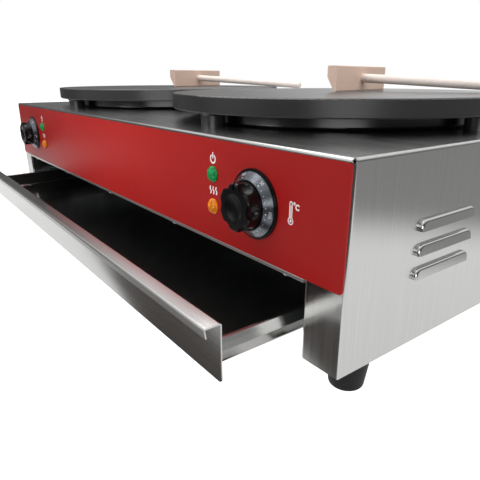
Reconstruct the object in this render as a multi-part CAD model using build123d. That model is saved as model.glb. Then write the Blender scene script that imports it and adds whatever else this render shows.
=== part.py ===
from build123d import *
import os
from math import atan2, cos, degrees, radians, sin, sqrt, tan

# Double electric crepe maker: a folded stainless casing with two cast iron plates on top, a red
# fascia with one thermostat for each plate, and a crumb drawer between the legs.
# Lengths are in millimetres.  X runs to the right and Z up from the worktop.  While the pieces are
# built, y = 0 is the red face of the fascia and Y runs to the back; save() moves every piece so that
# the origin is the middle of the whole outline, at worktop height.

# ---------------------------------------------------------------- casing
BODY_WIDTH = 860.0
BODY_DEPTH = 480.0
BODY_HEIGHT = 165.0          # lower edge of the side panels to the top of the deck
FOOT_HEIGHT = 30.0
SHEET = 1.2                  # stainless sheet of the casing
BEND_RADIUS = 2.5            # outside radius of the casing's folds
DECK_LIP = 3.0               # how far the deck's rolled edge comes down
LEG_WIDTH = 40.0             # front return of a side panel, which is the leg's face
LEG_LIP = 16.0               # depth of the leg's inner return
LEG_CORNER_RADIUS = 4.0
REAR_RETURN = 20.0
FLANGE_RADIUS = 1.9          # outside radius of the fold along a side panel's lower edge
CHANNEL_LIP = 9.0            # upturned inner edge of a side panel's bottom flange
BEAM_CLEARANCE = 66.5        # lower edge of the side panels to the lower edge of the front beam
BEAM_FLANGE = 15.0           # depth of the front beam's flanges
BAY_FLOOR_LIP = 12.0
VENT_SLOT_LENGTH = 46.0
VENT_SLOT_WIDTH = 4.0
VENT_SLOT_COUNT = 7
VENT_SLOT_PITCH = 18.0
VENT_ROW_OFFSET = 90.0       # centre of a plate to each row of vent slots

# ---------------------------------------------------------------- fascia
FASCIA_THICKNESS = 1.2
FASCIA_MARGIN = 1.9          # steel left bare at each side of the red skin
FASCIA_RAISE = 2.5           # bare folded edge of the beam below the red skin
FASCIA_CORNER = 3.5

# ---------------------------------------------------------------- louvres of the side panels
LOUVRE_COUNT = 3
LOUVRE_PITCH = 20.2
LOUVRE_LENGTH = 78.0
LOUVRE_HEIGHT = 9.0
LOUVRE_RISE = 4.2            # how far a hood stands out of the panel at its open lower edge
LOUVRE_TOP_RISE = 3.0        # the same at its upper edge
LOUVRE_CORNER = 6.5
LOUVRE_EDGE = 2.4            # outside radius along the top and the ends of a hood
LOUVRE_FRONT_SETBACK = 81.0  # fascia face to the front louvre group, and the same from the back
LOUVRE_DROP = 54.5           # deck top to the top of the first hood

# ---------------------------------------------------------------- plates and what is under them
PLATE_DIAMETER = 400.0
PLATE_THICKNESS = 17.0       # at the rim
PLATE_SKIN = 9.5             # over the recess for the element
PLATE_RIM = 9.0              # width of the rim round the recess
PLATE_TOP_RADIUS = 1.3
PLATE_BOTTOM_CHAMFER = 1.4
PLATE_SPACING = 412.0        # between the centres of the two plates
PLATE_SETBACK = 227.0        # fascia face to the centres
POST_HEIGHT = 14.0
POST_DIAMETER = 25.0
POST_FLARE = 2.6
POST_CIRCLE_RADIUS = 183.0
POST_COUNT = 4
POST_BOLT_DIAMETER = 8.0
POST_BOLT_HEAD = 13.0        # across the flats
POST_BOLT_HEAD_HEIGHT = 5.0
POST_BOLT_GRIP = 6.0         # thread that enters the plate's pad
PAD_DIAMETER = 31.0          # cast pad over each post
BOLT_CLEARANCE = 0.4         # on the diameter, where a bolt passes through
PAN_DIAMETER = 332.0
PAN_SHEET = 0.8
PAN_RIM_ENTRY = 3.0          # how far the pan's wall reaches into the plate's recess
PAN_BEND = 4.0
WIRE_HOLE_DIAMETER = 28.0
INSULATION_DIAMETER = 318.0
CLAMP_DIAMETER = 296.0
CLAMP_SHEET = 1.5
CLAMP_BOSS_DIAMETER = 22.0
CLAMP_SCREW_DIAMETER = 6.0
CLAMP_SCREW_LENGTH = 10.0
COLD_END_HOLE = 16.0         # diameter, round a cold end of the element
ELEMENT_SHEATH = 8.0
ELEMENT_OUTER_RADIUS = 134.0
ELEMENT_INNER_RADIUS = 78.0
ELEMENT_GAP_ANGLE = 36.0     # where the two rings are open
ELEMENT_BEND = 10.0          # from the ring down into a cold end
ELEMENT_LEG = 36.0
BULB_DIAMETER = 6.0
BULB_LENGTH = 88.0
BULB_OFFSET = 40.0
SEAT_GAP = 0.1               # curved pieces that lie against a flat one

# ---------------------------------------------------------------- controls
KNOB_INSET = 100.0           # outer face of a side panel to the knob's axis
KNOB_DROP = 50.0             # deck top to the knobs' axes
BEZEL_RADIUS = 29.4
BEZEL_BASE = 1.8             # black rim of the ring
BEZEL_CONE_OUTER = 27.2
BEZEL_CONE_INNER = 21.2
BEZEL_EDGE_HEIGHT = 3.0
BEZEL_HEIGHT = 8.3
BEZEL_BORE = 9.0
BEZEL_FLOOR = 1.6
KNOB_RADIUS = 20.2
KNOB_FRONT = 21.6            # fascia face to the knob's face
KNOB_BACK = 4.6
KNOB_COLLAR = 4.6            # plain ring behind the finger flutes
KNOB_GAP = 0.6               # radial, collar to bezel
KNOB_COLLAR_RADIUS = 19.8
KNOB_EDGE_RADIUS = 2.4
KNOB_DISH_RADIUS = 11.5
KNOB_DISH_DEPTH = 2.2
KNOB_DISH_EDGE = 2.0         # radius that eases the dish into the face
FLUTE_COUNT = 6
FLUTE_RADIUS = 8.6
FLUTE_DEPTH_BACK = 4.6
FLUTE_DEPTH_FRONT = 1.1
POINTER_WIDTH = 2.0
POINTER_LENGTH = 6.0
POINTER_DEPTH = 1.6
SPINDLE_DIAMETER = 6.0
SPINDLE_FLAT = 1.5           # taken off the spindle's round section
SPINDLE_FIT = 0.05           # radial running clearance in the thermostat's bush
SPINDLE_ENTRY = 10.0         # into the knob
BUSH_DIAMETER = 9.6
BUSH_STAND = 0.8             # bush ahead of the fascia face
THERMOSTAT_WIDTH = 34.0
THERMOSTAT_HEIGHT = 30.0
THERMOSTAT_DEPTH = 26.0
THERMOSTAT_EDGE = 3.0
THERMOSTAT_SCREW_SPREAD = 14.0   # spindle to each fixing screw
TAB_LENGTH = 9.0             # spade terminals
TAB_WIDTH = 6.3
TAB_SHEET = 0.8
TAB_PITCH = 10.0             # between the thermostat's terminals
LAMP_TAB_PITCH = 5.0
LAMP_INSET = 160.0
LAMP_UPPER_DROP = 34.5       # deck top to the green lamp
LAMP_PITCH = 30.0            # green lamp to amber lamp
LENS_RADIUS = 7.4
LENS_RISE = 4.6
LENS_RIM = 1.0
LAMP_HOLE_DIAMETER = 10.2
LAMP_BARREL_DIAMETER = 10.0
LAMP_BARREL_LENGTH = 24.0
LAMP_BARREL_WALL = 1.0
LAMP_CLIP_DIAMETER = 15.0
LAMP_CLIP_HEIGHT = 2.4
LENS_STUB = 5.0

# ---------------------------------------------------------------- drawer
DRAWER_OPEN = 70.0           # how far the drawer stands open at rest
DRAWER_HALF_WIDTH = 380.0
DRAWER_FACE_HEIGHT = 50.0
DRAWER_SHEET = 1.2
PULL_REACH = 14.0            # hooked pull, forward of the drawer's face
PULL_LIP = 8.4
PULL_TUCK = 11.0             # degrees by which the lip leans back toward the face
PULL_BEND = 2.0
DRAWER_CORNER = 3.0
TRAY_HALF_WIDTH = 372.0
TRAY_DEPTH = 455.0
TRAY_LIFT = 10.0             # lower edge of the side panels to the tray's underside
TRAY_HEIGHT = 24.0
TRAY_SHEET = 1.0
TRAY_HEM_WIDTH = 2.6
TRAY_HEM_DROP = 8.5
TRAY_BEND = 1.3
TRAY_FLOOR_BEND = 2.5
RUNNER_SHEET = 1.2
RUNNER_LAP = 9.0             # runner under the edge of the tray
RUNNER_GAP = 0.3             # tray to runner, above and below
RUNNER_SIDE_GAP = 0.8        # tray's wall to the runner's guiding web
RUNNER_STEP_GAP = 1.5        # tray's hem to the runner's step below it
RUNNER_BEND = 2.2
RUNNER_SETBACK = 30.0        # leg's face to the guiding web; only the outer web reaches the leg

# ---------------------------------------------------------------- feet, rear and fasteners
FOOT_TOP_RADIUS = 18.6
FOOT_BOTTOM_RADIUS = 14.4
FOOT_EDGE_RADIUS = 4.0
FOOT_INSET_X = 22.0
FOOT_INSET_Y = 38.0
FOOT_BORE_DIAMETER = 6.4
FOOT_POCKET_DIAMETER = 13.0
FOOT_POCKET_DEPTH = 12.0
FOOT_SCREW_DIAMETER = 6.0
SCREW_DIAMETER = 4.0
SCREW_HEAD_DIAMETER = 7.6
SCREW_HEAD_HEIGHT = 2.2
SCREW_HEAD_TAPER = 1.0       # the head's flank leans in by this much
SCREW_LENGTH = 8.0
HEX_HALF_WIDTH = 0.83        # centre to flat of a hexagon, per millimetre of thread
HEX_HEAD_HEIGHT = 0.66       # per millimetre of thread
NUT_HEIGHT = 0.8             # per millimetre of thread
FOOT_HEAD_DIAMETER = 11.4
FOOT_HEAD_HEIGHT = 3.6
BEAM_SCREW_COUNT = 5
BEAM_SCREW_PITCH = 181.5
BEAM_SCREW_SETBACK = 7.5     # fascia face to the screws under the beam
REAR_SCREW_COUNT = 4
REAR_SCREW_PITCH = 46.0
GLAND_HEIGHT = 28.0          # bay floor to the gland's axis
GLAND_BORE_DIAMETER = 9.0
GLAND_THREAD_DIAMETER = 16.0
GLAND_HEX = 19.0
GLAND_HEX_LENGTH = 5.0
GLAND_DOME_LENGTH = 11.0
GLAND_TAIL = 9.0
GLAND_CAP_STEP = 0.5         # hexagon's flat to the round cap
GLAND_CAP_LAND = 1.5         # flat ring round the mouth of the bore
LOCKNUT_HEX = 21.0
LOCKNUT_LENGTH = 5.0
TERMINAL_LENGTH = 44.0
TERMINAL_DEPTH = 22.0
TERMINAL_HEIGHT = 18.0
TERMINAL_WAYS = 3
TERMINAL_SETBACK = 44.0      # rear panel to the middle of the terminal block
TERMINAL_BARRIER = 4.0       # ceramic wall between two ways
TERMINAL_SLOT_DEPTH = 6.3
TERMINAL_SCREW_DIAMETER = 6.0
TERMINAL_SCREW_DEPTH = 12.5

# ---------------------------------------------------------------- wooden spreaders
BLADE_LENGTH = 140.0
BLADE_HEIGHT = 30.0
BLADE_FOOT = 3.0             # thickness along the edge that rests on the plate
BLADE_TOP = 13.0
BLADE_SHOULDER = 17.0        # height at which the blade reaches its full thickness
BLADE_EDGE_RADIUS = 1.2
HANDLE_DIAMETER = 11.0
HANDLE_TIP_DIAMETER = 10.0
HANDLE_TIP_ROUND = 2.5
HANDLE_LENGTH = 232.0
HANDLE_RISE = 15.5           # plate to the handle's axis at the blade
HANDLE_ENTRY = 8.0
WOOD_FIT = 0.05
LOOSE_GAP = 0.3              # a loose piece and what it rests on
RIGHT_BLADE_OFFSET = (-14.6, 66.9)   # centre of the plate to the middle of the blade
RIGHT_BLADE_ANGLE = 103.1
LEFT_BLADE_OFFSET = (-26.0, 78.2)
LEFT_BLADE_ANGLE = 108.0

# ---------------------------------------------------------------- planes and places worked out
BASE_Z = FOOT_HEIGHT
DECK_Z = BASE_Z + BODY_HEIGHT
UNDER_DECK_Z = DECK_Z - SHEET
LIP_Z = DECK_Z - DECK_LIP
BEAM_Z = BASE_Z + BEAM_CLEARANCE
BAY_FLOOR_Z = BEAM_Z + SHEET
SIDE_X = BODY_WIDTH / 2
LEG_X = SIDE_X - LEG_WIDTH
STEEL_Y = FASCIA_THICKNESS               # outer face of the steel front
BEHIND_BEAM_Y = STEEL_Y + SHEET
DECK_FRONT_Y = STEEL_Y - SHEET
REAR_Y = BODY_DEPTH
REAR_SKIN_Y = REAR_Y - SHEET             # outer face of the rear panel
REAR_INSIDE_Y = REAR_SKIN_Y - SHEET
PLATE_UNDER_Z = DECK_Z + POST_HEIGHT
PLATE_TOP_Z = PLATE_UNDER_Z + PLATE_THICKNESS
RECESS_Z = PLATE_TOP_Z - PLATE_SKIN      # ceiling of the recess
PLATE_RADIUS = PLATE_DIAMETER / 2
PLATE_CENTRES = {"left": (-PLATE_SPACING / 2, PLATE_SETBACK), "right": (PLATE_SPACING / 2, PLATE_SETBACK)}
SIDES = {"left": -1, "right": 1}
KNOB_X = SIDE_X - KNOB_INSET
KNOB_Z = DECK_Z - KNOB_DROP
LAMP_X = SIDE_X - LAMP_INSET
GLAND_X = PLATE_SPACING / 2
LAMP_Z = {"green": DECK_Z - LAMP_UPPER_DROP, "amber": DECK_Z - LAMP_UPPER_DROP - LAMP_PITCH}
DRAWER_FACE_Y = -DRAWER_OPEN
TRAY_Z = BASE_Z + TRAY_LIFT
TRAY_TOP_Z = TRAY_Z + TRAY_HEIGHT
GLAND_Z = BAY_FLOOR_Z + SHEET + GLAND_HEIGHT
GLAND_OUTER_Y = REAR_SKIN_Y + GLAND_HEX_LENGTH + GLAND_DOME_LENGTH
MIDDLE_Y = (DRAWER_FACE_Y - PULL_REACH + GLAND_OUTER_Y) / 2

os.makedirs("parts", exist_ok=True)


def save(name, *solids):
    """Write one node, moved so that the origin is the middle of the whole outline."""
    kept = [Pos(0, -MIDDLE_Y, 0) * solid for shape in solids for solid in shape.solids()]
    node = kept[0] if len(kept) == 1 else Compound(children=kept)
    export_step(node, f"parts/{name}.step")


def block(x0, x1, y0, y1, z0, z1):
    """A square-edged block between two corners."""
    return Pos((x0 + x1) / 2, (y0 + y1) / 2, (z0 + z1) / 2) * Box(x1 - x0, y1 - y0, z1 - z0)


def rod(diameter, start, end):
    """A round bar from one point to another."""
    axis = Vector(*end) - Vector(*start)
    place = Plane(origin=start, z_dir=axis)
    return place * extrude(Circle(diameter / 2), axis.length)


def folded(points, radii, thickness, side):
    """Section of a folded sheet whose one face runs through the points."""
    return make_face(offset(FilletPolyline(*points, radius=radii), thickness, side=side))


def along_x(section, x0, x1):
    """Extrude a section drawn as (y, z) from x0 to x1."""
    return Pos(x0, 0, 0) * extrude(Plane.YZ * section, x1 - x0)


def along_y(section, y0, y1):
    """Extrude a section drawn as (x, z) from y0 to y1."""
    return Pos(0, y1, 0) * extrude(Plane.XZ * section, y1 - y0)


def turned(points, place):
    """Revolve a section drawn as (radius, height) about the Z axis of a plane."""
    ring = revolve(Plane.XZ * make_face(Polyline(*points, close=True)), Axis.Z)
    return place * ring


def hexagon(half_width):
    """A hexagon, given the distance from its centre to its flats."""
    return RegularPolygon(half_width, 6, major_radius=False)


def facing_front(x, y, z):
    """Plane whose Z axis points out of the front of the machine."""
    return Plane(origin=(x, y, z), x_dir=(1, 0, 0), z_dir=(0, -1, 0))


def facing_back(x, y, z):
    """Plane whose Z axis points out of the back of the machine."""
    return Plane(origin=(x, y, z), x_dir=(-1, 0, 0), z_dir=(0, 1, 0))


def post_places(centre):
    """Centres of the posts round one plate, the first one at the front."""
    step = 360 / POST_COUNT
    turns = [radians(-90 + step * number) for number in range(POST_COUNT)]
    return [(centre[0] + POST_CIRCLE_RADIUS * cos(turn), centre[1] + POST_CIRCLE_RADIUS * sin(turn))
            for turn in turns]


def beam_screw_places():
    """X places of the screws under the front beam."""
    first = -BEAM_SCREW_PITCH * (BEAM_SCREW_COUNT - 1) / 2
    return [first + BEAM_SCREW_PITCH * number for number in range(BEAM_SCREW_COUNT)]


# ---------------------------------------------------------------- casing


def top_deck():
    """Deck with a rolled edge on all four sides; its corners are left open as folded ones are."""
    across = folded(
        [(-SIDE_X, LIP_Z), (-SIDE_X, DECK_Z), (SIDE_X, DECK_Z), (SIDE_X, LIP_Z)],
        BEND_RADIUS, SHEET, Side.RIGHT)
    front_to_back = folded(
        [(DECK_FRONT_Y, LIP_Z), (DECK_FRONT_Y, DECK_Z), (REAR_Y, DECK_Z), (REAR_Y, LIP_Z)],
        BEND_RADIUS, SHEET, Side.RIGHT)
    deck = along_y(across, DECK_FRONT_Y + BEND_RADIUS, REAR_Y - BEND_RADIUS)
    deck += along_x(front_to_back, -SIDE_X + BEND_RADIUS, SIDE_X - BEND_RADIUS)
    for centre in PLATE_CENTRES.values():
        deck -= Pos(*centre, DECK_Z) * Cylinder(WIRE_HOLE_DIAMETER / 2, 4 * SHEET)
        deck -= cold_end_holes(centre, COLD_END_HOLE, DECK_Z - 2 * SHEET, DECK_Z + SHEET)
        for place in post_places(centre):
            deck -= Pos(*place, DECK_Z) * Cylinder((POST_BOLT_DIAMETER + BOLT_CLEARANCE) / 2, 4 * SHEET)
    return deck


def louvre_form(front_y, bottom_z, wall):
    """Outside of a pressed hood, or with a wall its inside, which reaches through the panel."""
    middle = front_y + LOUVRE_LENGTH / 2
    height = LOUVRE_HEIGHT - wall
    outline = Pos(middle, bottom_z + height / 2) * Rectangle(LOUVRE_LENGTH - 2 * wall, height)
    outline = fillet(outline.vertices().group_by(Axis.Y)[-1], LOUVRE_CORNER - wall)
    root_x = SIDE_X - SHEET - wall
    form = along_x(outline, root_x, SIDE_X + LOUVRE_RISE)
    slope = make_face(Polyline(
        (root_x, bottom_z - 1), (SIDE_X + LOUVRE_RISE - wall, bottom_z - 1),
        (SIDE_X + LOUVRE_RISE - wall, bottom_z), (SIDE_X + LOUVRE_TOP_RISE - wall, bottom_z + LOUVRE_HEIGHT),
        (root_x, bottom_z + LOUVRE_HEIGHT), close=True))
    form &= along_y(slope, front_y, front_y + LOUVRE_LENGTH)
    outer_edges = form.faces().sort_by(Axis.X)[-1].edges()
    shoulder = outer_edges.filter_by(lambda edge: edge.center().Z > bottom_z + SEAT_GAP)
    return fillet(shoulder, LOUVRE_EDGE - wall)


def lower_corner(outer_x, inward, radius, rear_y):
    """Cutter that rounds a lower corner of a side panel, from its front back to rear_y."""
    arc_x = outer_x + inward * radius
    arc_z = BASE_Z + radius
    corner = block(*sorted((outer_x - inward, arc_x)), STEEL_Y - 1, rear_y + 1, BASE_Z - 1, arc_z)
    return corner - rod(2 * radius, (arc_x, STEEL_Y - 2, arc_z), (arc_x, rear_y + 2, arc_z))


def side_panel():
    """Right side panel: leg face, inner lip, rear return, foot flange and two groups of louvres."""
    plan = folded(
        [(LEG_X, STEEL_Y + LEG_LIP), (LEG_X, STEEL_Y), (SIDE_X, STEEL_Y), (SIDE_X, REAR_Y),
         (SIDE_X - REAR_RETURN, REAR_Y)],
        BEND_RADIUS, SHEET, Side.LEFT)
    panel = Pos(0, 0, BASE_Z) * extrude(plan, LIP_Z - BASE_Z)
    inside_x = SIDE_X - SHEET
    panel += block(LEG_X, inside_x, BEHIND_BEAM_Y, REAR_SKIN_Y, BASE_Z, BASE_Z + SHEET)
    panel += block(LEG_X, LEG_X + SHEET, STEEL_Y + LEG_LIP, REAR_INSIDE_Y, BASE_Z, BASE_Z + CHANNEL_LIP)
    panel -= lower_corner(LEG_X, 1, LEG_CORNER_RADIUS, STEEL_Y + LEG_LIP)
    panel -= lower_corner(SIDE_X, -1, FLANGE_RADIUS, REAR_Y)
    for front_y in (LOUVRE_FRONT_SETBACK, REAR_Y - LOUVRE_FRONT_SETBACK - LOUVRE_LENGTH):
        for number in range(LOUVRE_COUNT):
            bottom_z = DECK_Z - LOUVRE_DROP - LOUVRE_HEIGHT - number * LOUVRE_PITCH
            panel += louvre_form(front_y, bottom_z, 0)
            panel -= louvre_form(front_y, bottom_z, SHEET)
    for place_y in (FOOT_INSET_Y, REAR_Y - FOOT_INSET_Y):
        panel -= rod(FOOT_SCREW_DIAMETER + BOLT_CLEARANCE, (SIDE_X - FOOT_INSET_X, place_y, BASE_Z - 1),
                     (SIDE_X - FOOT_INSET_X, place_y, BASE_Z + 2 * SHEET))
    for place_z in rear_screw_heights():
        panel -= rod(SCREW_DIAMETER + BOLT_CLEARANCE, (rear_screw_x(), REAR_SKIN_Y - SHEET, place_z),
                     (rear_screw_x(), REAR_Y + SHEET, place_z))
    return panel


def front_beam():
    """Beam between the legs, a C section with end tabs, cut out for the controls."""
    section = folded(
        [(STEEL_Y + BEAM_FLANGE, BEAM_Z), (STEEL_Y, BEAM_Z), (STEEL_Y, UNDER_DECK_Z),
         (STEEL_Y + BEAM_FLANGE, UNDER_DECK_Z)],
        BEND_RADIUS, SHEET, Side.RIGHT)
    beam = along_x(section, -LEG_X, LEG_X)
    for hand in SIDES.values():
        ends = sorted((hand * (LEG_X - SHEET), hand * LEG_X))
        beam += block(*ends, BEHIND_BEAM_Y, STEEL_Y + BEAM_FLANGE, BEAM_Z + SHEET, UNDER_DECK_Z - SHEET)
    beam -= control_holes(STEEL_Y - 1, BEHIND_BEAM_Y + 1)
    for place_x in beam_screw_places():
        beam -= Pos(place_x, BEAM_SCREW_SETBACK, BEAM_Z) * Cylinder(
            (SCREW_DIAMETER + BOLT_CLEARANCE) / 2, 4 * SHEET)
    return beam


def control_holes(front_y, back_y):
    """Cutters for the thermostats' bushes and screws and for the lamps' barrels."""
    cutters = []
    for hand in SIDES.values():
        knob_x = hand * KNOB_X
        holes = [(BUSH_DIAMETER + BOLT_CLEARANCE, knob_x, KNOB_Z)]
        for side in (-1, 1):
            holes.append((SCREW_DIAMETER + BOLT_CLEARANCE, knob_x + side * THERMOSTAT_SCREW_SPREAD, KNOB_Z))
        for lamp_z in LAMP_Z.values():
            holes.append((LAMP_HOLE_DIAMETER, hand * LAMP_X, lamp_z))
        for diameter, x, z in holes:
            cutters.append(rod(diameter, (x, front_y, z), (x, back_y, z)))
    return Compound(children=cutters)


def fascia_panel():
    """Red skin over the beam and the upper part of the legs."""
    low_z = BEAM_Z + FASCIA_RAISE
    outline = RectangleRounded(BODY_WIDTH - 2 * FASCIA_MARGIN, LIP_Z - low_z, FASCIA_CORNER)
    skin = along_y(Pos(0, (LIP_Z + low_z) / 2) * outline, 0, FASCIA_THICKNESS)
    return skin - control_holes(-1, FASCIA_THICKNESS + 1)


def rear_panel():
    """Flat rear panel, screwed on inside the side panels' returns and the deck's rolled edge."""
    half = SIDE_X - BEND_RADIUS
    panel = block(-half, half, REAR_INSIDE_Y, REAR_SKIN_Y, BASE_Z + SHEET, DECK_Z - BEND_RADIUS)
    for hand in SIDES.values():
        panel -= rod(GLAND_THREAD_DIAMETER, (hand * GLAND_X, REAR_INSIDE_Y - 1, GLAND_Z),
                     (hand * GLAND_X, REAR_SKIN_Y + 1, GLAND_Z))
        for place_z in rear_screw_heights():
            panel -= rod(SCREW_DIAMETER, (hand * rear_screw_x(), REAR_INSIDE_Y - 1, place_z),
                         (hand * rear_screw_x(), REAR_SKIN_Y + 1, place_z))
    return panel


def rear_screw_x():
    """X place of the screws that hold the rear panel to the side panels' returns."""
    return SIDE_X - REAR_RETURN / 2


def rear_screw_heights():
    """Z places of the rear panel's screws."""
    middle = (BASE_Z + DECK_Z) / 2
    first = middle - REAR_SCREW_PITCH * (REAR_SCREW_COUNT - 1) / 2
    return [first + REAR_SCREW_PITCH * number for number in range(REAR_SCREW_COUNT)]


def bay_floor():
    """Floor of the electrical bay, turned up at the sides and the back, with rows of vent slots."""
    half = SIDE_X - SHEET
    start_y = STEEL_Y + LEG_LIP + SHEET
    top_z = BAY_FLOOR_Z + SHEET
    floor = block(-half, half, start_y, REAR_INSIDE_Y, BAY_FLOOR_Z, top_z)
    tongue_half = LEG_X - 2 * SHEET
    floor += block(-tongue_half, tongue_half, STEEL_Y + BEND_RADIUS, start_y, BAY_FLOOR_Z, top_z)
    for hand in SIDES.values():
        ends = sorted((hand * (half - SHEET), hand * half))
        floor += block(*ends, start_y, REAR_INSIDE_Y, top_z, top_z + BAY_FLOOR_LIP)
    floor += block(-half, half, REAR_INSIDE_Y - SHEET, REAR_INSIDE_Y, top_z, top_z + BAY_FLOOR_LIP)
    slot = Box(VENT_SLOT_WIDTH, VENT_SLOT_LENGTH, 4 * SHEET)
    for centre in PLATE_CENTRES.values():
        for row in (-1, 1):
            for number in range(VENT_SLOT_COUNT):
                shift = (number - (VENT_SLOT_COUNT - 1) / 2) * VENT_SLOT_PITCH
                floor -= Pos(centre[0] + shift, centre[1] + row * VENT_ROW_OFFSET, BAY_FLOOR_Z) * slot
    for place_x in beam_screw_places():
        floor -= Pos(place_x, BEAM_SCREW_SETBACK, BAY_FLOOR_Z) * Cylinder(SCREW_DIAMETER / 2, 4 * SHEET)
    return floor


def rubber_foot(place_x, place_y):
    """Tapered rubber foot with a pocket for its screw."""
    slope = [(0, 0), (FOOT_BOTTOM_RADIUS, 0), (FOOT_TOP_RADIUS, FOOT_HEIGHT), (0, FOOT_HEIGHT)]
    outline = make_face(Polyline(*slope, close=True))
    lower = outline.vertices().filter_by(lambda point: point.X > 1).group_by(Axis.Y)[0]
    outline = fillet(lower, FOOT_EDGE_RADIUS)
    foot = Pos(place_x, place_y, 0) * revolve(Plane.XZ * outline, Axis.Z)
    foot -= rod(FOOT_BORE_DIAMETER, (place_x, place_y, -1), (place_x, place_y, FOOT_HEIGHT + 1))
    foot -= rod(FOOT_POCKET_DIAMETER, (place_x, place_y, -1), (place_x, place_y, FOOT_POCKET_DEPTH))
    return foot


def foot_screw(place_x, place_y):
    """Screw up through a foot and the flange, with its nut on top."""
    head_z = FOOT_POCKET_DEPTH
    nut_z = BASE_Z + SHEET
    nut_height = FOOT_SCREW_DIAMETER * NUT_HEIGHT
    at_axis = Pos(place_x, place_y, 0)
    shank = Pos(0, 0, head_z) * extrude(Circle(FOOT_SCREW_DIAMETER / 2), nut_z + nut_height + 1 - head_z)
    head = Pos(0, 0, head_z) * extrude(Circle(FOOT_HEAD_DIAMETER / 2), -FOOT_HEAD_HEIGHT)
    nut = Pos(0, 0, nut_z) * extrude(hexagon(FOOT_SCREW_DIAMETER * HEX_HALF_WIDTH), nut_height)
    return at_axis * (shank + head + nut)


def sheet_screw(place):
    """Pan-head screw; the plane's Z axis points out of its head, its origin lies under the head."""
    head = SCREW_HEAD_DIAMETER / 2
    shank = SCREW_DIAMETER / 2
    return turned(
        [(0, SCREW_HEAD_HEIGHT), (head - SCREW_HEAD_TAPER, SCREW_HEAD_HEIGHT), (head, 0), (shank, 0),
         (shank, -SCREW_LENGTH), (0, -SCREW_LENGTH)],
        place)


# ---------------------------------------------------------------- plates


def hotplate(centre):
    """Cast iron plate: thin skin, rim, a cast pad over each post, a boss and a rounded edge."""
    under = Pos(*centre, PLATE_UNDER_Z)
    disc = under * extrude(Circle(PLATE_RADIUS), PLATE_THICKNESS)
    disc = fillet(disc.edges().group_by(Axis.Z)[-1], PLATE_TOP_RADIUS)
    disc = chamfer(disc.edges().group_by(Axis.Z)[0], PLATE_BOTTOM_CHAMFER)
    recess = under * extrude(Circle(PLATE_RADIUS - PLATE_RIM), PLATE_THICKNESS - PLATE_SKIN)
    for place in post_places(centre):
        recess -= rod(PAD_DIAMETER, (*place, PLATE_UNDER_Z - 1), (*place, PLATE_TOP_Z))
    recess -= rod(CLAMP_BOSS_DIAMETER, (*centre, clamp_top_z()), (*centre, PLATE_TOP_Z))
    plate = disc - recess
    plate -= rod(CLAMP_SCREW_DIAMETER, (*centre, clamp_top_z() - 1), (*centre, clamp_screw_end_z()))
    for place in post_places(centre):
        hole_top = PLATE_UNDER_Z + POST_BOLT_GRIP
        plate -= rod(POST_BOLT_DIAMETER, (*place, PLATE_UNDER_Z - 1), (*place, hole_top))
    return plate


def clamp_top_z():
    """Upper face of the disc that presses the element to the plate."""
    return RECESS_Z - ELEMENT_SHEATH - 2 * SEAT_GAP


def clamp_screw_end_z():
    """Tip of the clamp disc's screw, inside the plate's boss."""
    return clamp_top_z() - CLAMP_SHEET + CLAMP_SCREW_LENGTH


def plate_post(place):
    """Turned post with a flared head, bored for its bolt."""
    radius = POST_DIAMETER / 2
    bore = (POST_BOLT_DIAMETER + BOLT_CLEARANCE) / 2
    return turned(
        [(bore, POST_HEIGHT), (bore, 0), (radius, 0), (radius, POST_HEIGHT - POST_FLARE),
         (radius + POST_FLARE, POST_HEIGHT)],
        Plane(origin=(*place, DECK_Z)))


def post_bolt(place):
    """Hexagon bolt from under the deck, through a post and into the plate's pad."""
    head = extrude(hexagon(POST_BOLT_HEAD / 2), -POST_BOLT_HEAD_HEIGHT)
    shank = extrude(Circle(POST_BOLT_DIAMETER / 2), SHEET + POST_HEIGHT + POST_BOLT_GRIP)
    return Pos(*place, UNDER_DECK_Z) * (head + shank)


def heater_pan(centre):
    """Dished pan on the deck; its wall ends inside the plate's recess."""
    radius = PAN_DIAMETER / 2
    height = POST_HEIGHT + PAN_RIM_ENTRY
    hole = WIRE_HOLE_DIAMETER / 2
    section = folded([(hole, 0), (radius, 0), (radius, height)], [PAN_BEND], PAN_SHEET, Side.LEFT)
    pan = Pos(*centre, DECK_Z) * revolve(Plane.XZ * section, Axis.Z)
    return pan - cold_end_holes(centre, COLD_END_HOLE, DECK_Z - PAN_SHEET, DECK_Z + 2 * PAN_SHEET)


def insulation_pad(centre):
    """Ceramic fibre pad between the pan and the clamp disc."""
    low_z = DECK_Z + PAN_SHEET
    height = clamp_top_z() - CLAMP_SHEET - low_z
    pad = Pos(*centre, low_z) * extrude(Circle(INSULATION_DIAMETER / 2), height)
    pad -= rod(WIRE_HOLE_DIAMETER, (*centre, low_z - 1), (*centre, low_z + height + 1))
    return pad - cold_end_holes(centre, COLD_END_HOLE, low_z - 1, low_z + height + 1)


def element_ends(centre):
    """Where the outer and the inner ring turn down, with the way each ring runs there."""
    turn = radians(90 + ELEMENT_GAP_ANGLE / 2)
    along = (-sin(turn), cos(turn))
    return [((centre[0] + radius * cos(turn), centre[1] + radius * sin(turn)), along)
            for radius in (ELEMENT_OUTER_RADIUS, ELEMENT_INNER_RADIUS)]


def cold_end_places(centre):
    """Places of the element's two cold ends, which stand in the gap of the rings."""
    return [(place[0] - ELEMENT_BEND * along[0], place[1] - ELEMENT_BEND * along[1])
            for place, along in element_ends(centre)]


def cold_end_holes(centre, diameter, low_z, high_z):
    """Cutters round the cold ends."""
    return [rod(diameter, (*place, low_z), (*place, high_z)) for place in cold_end_places(centre)]


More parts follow.
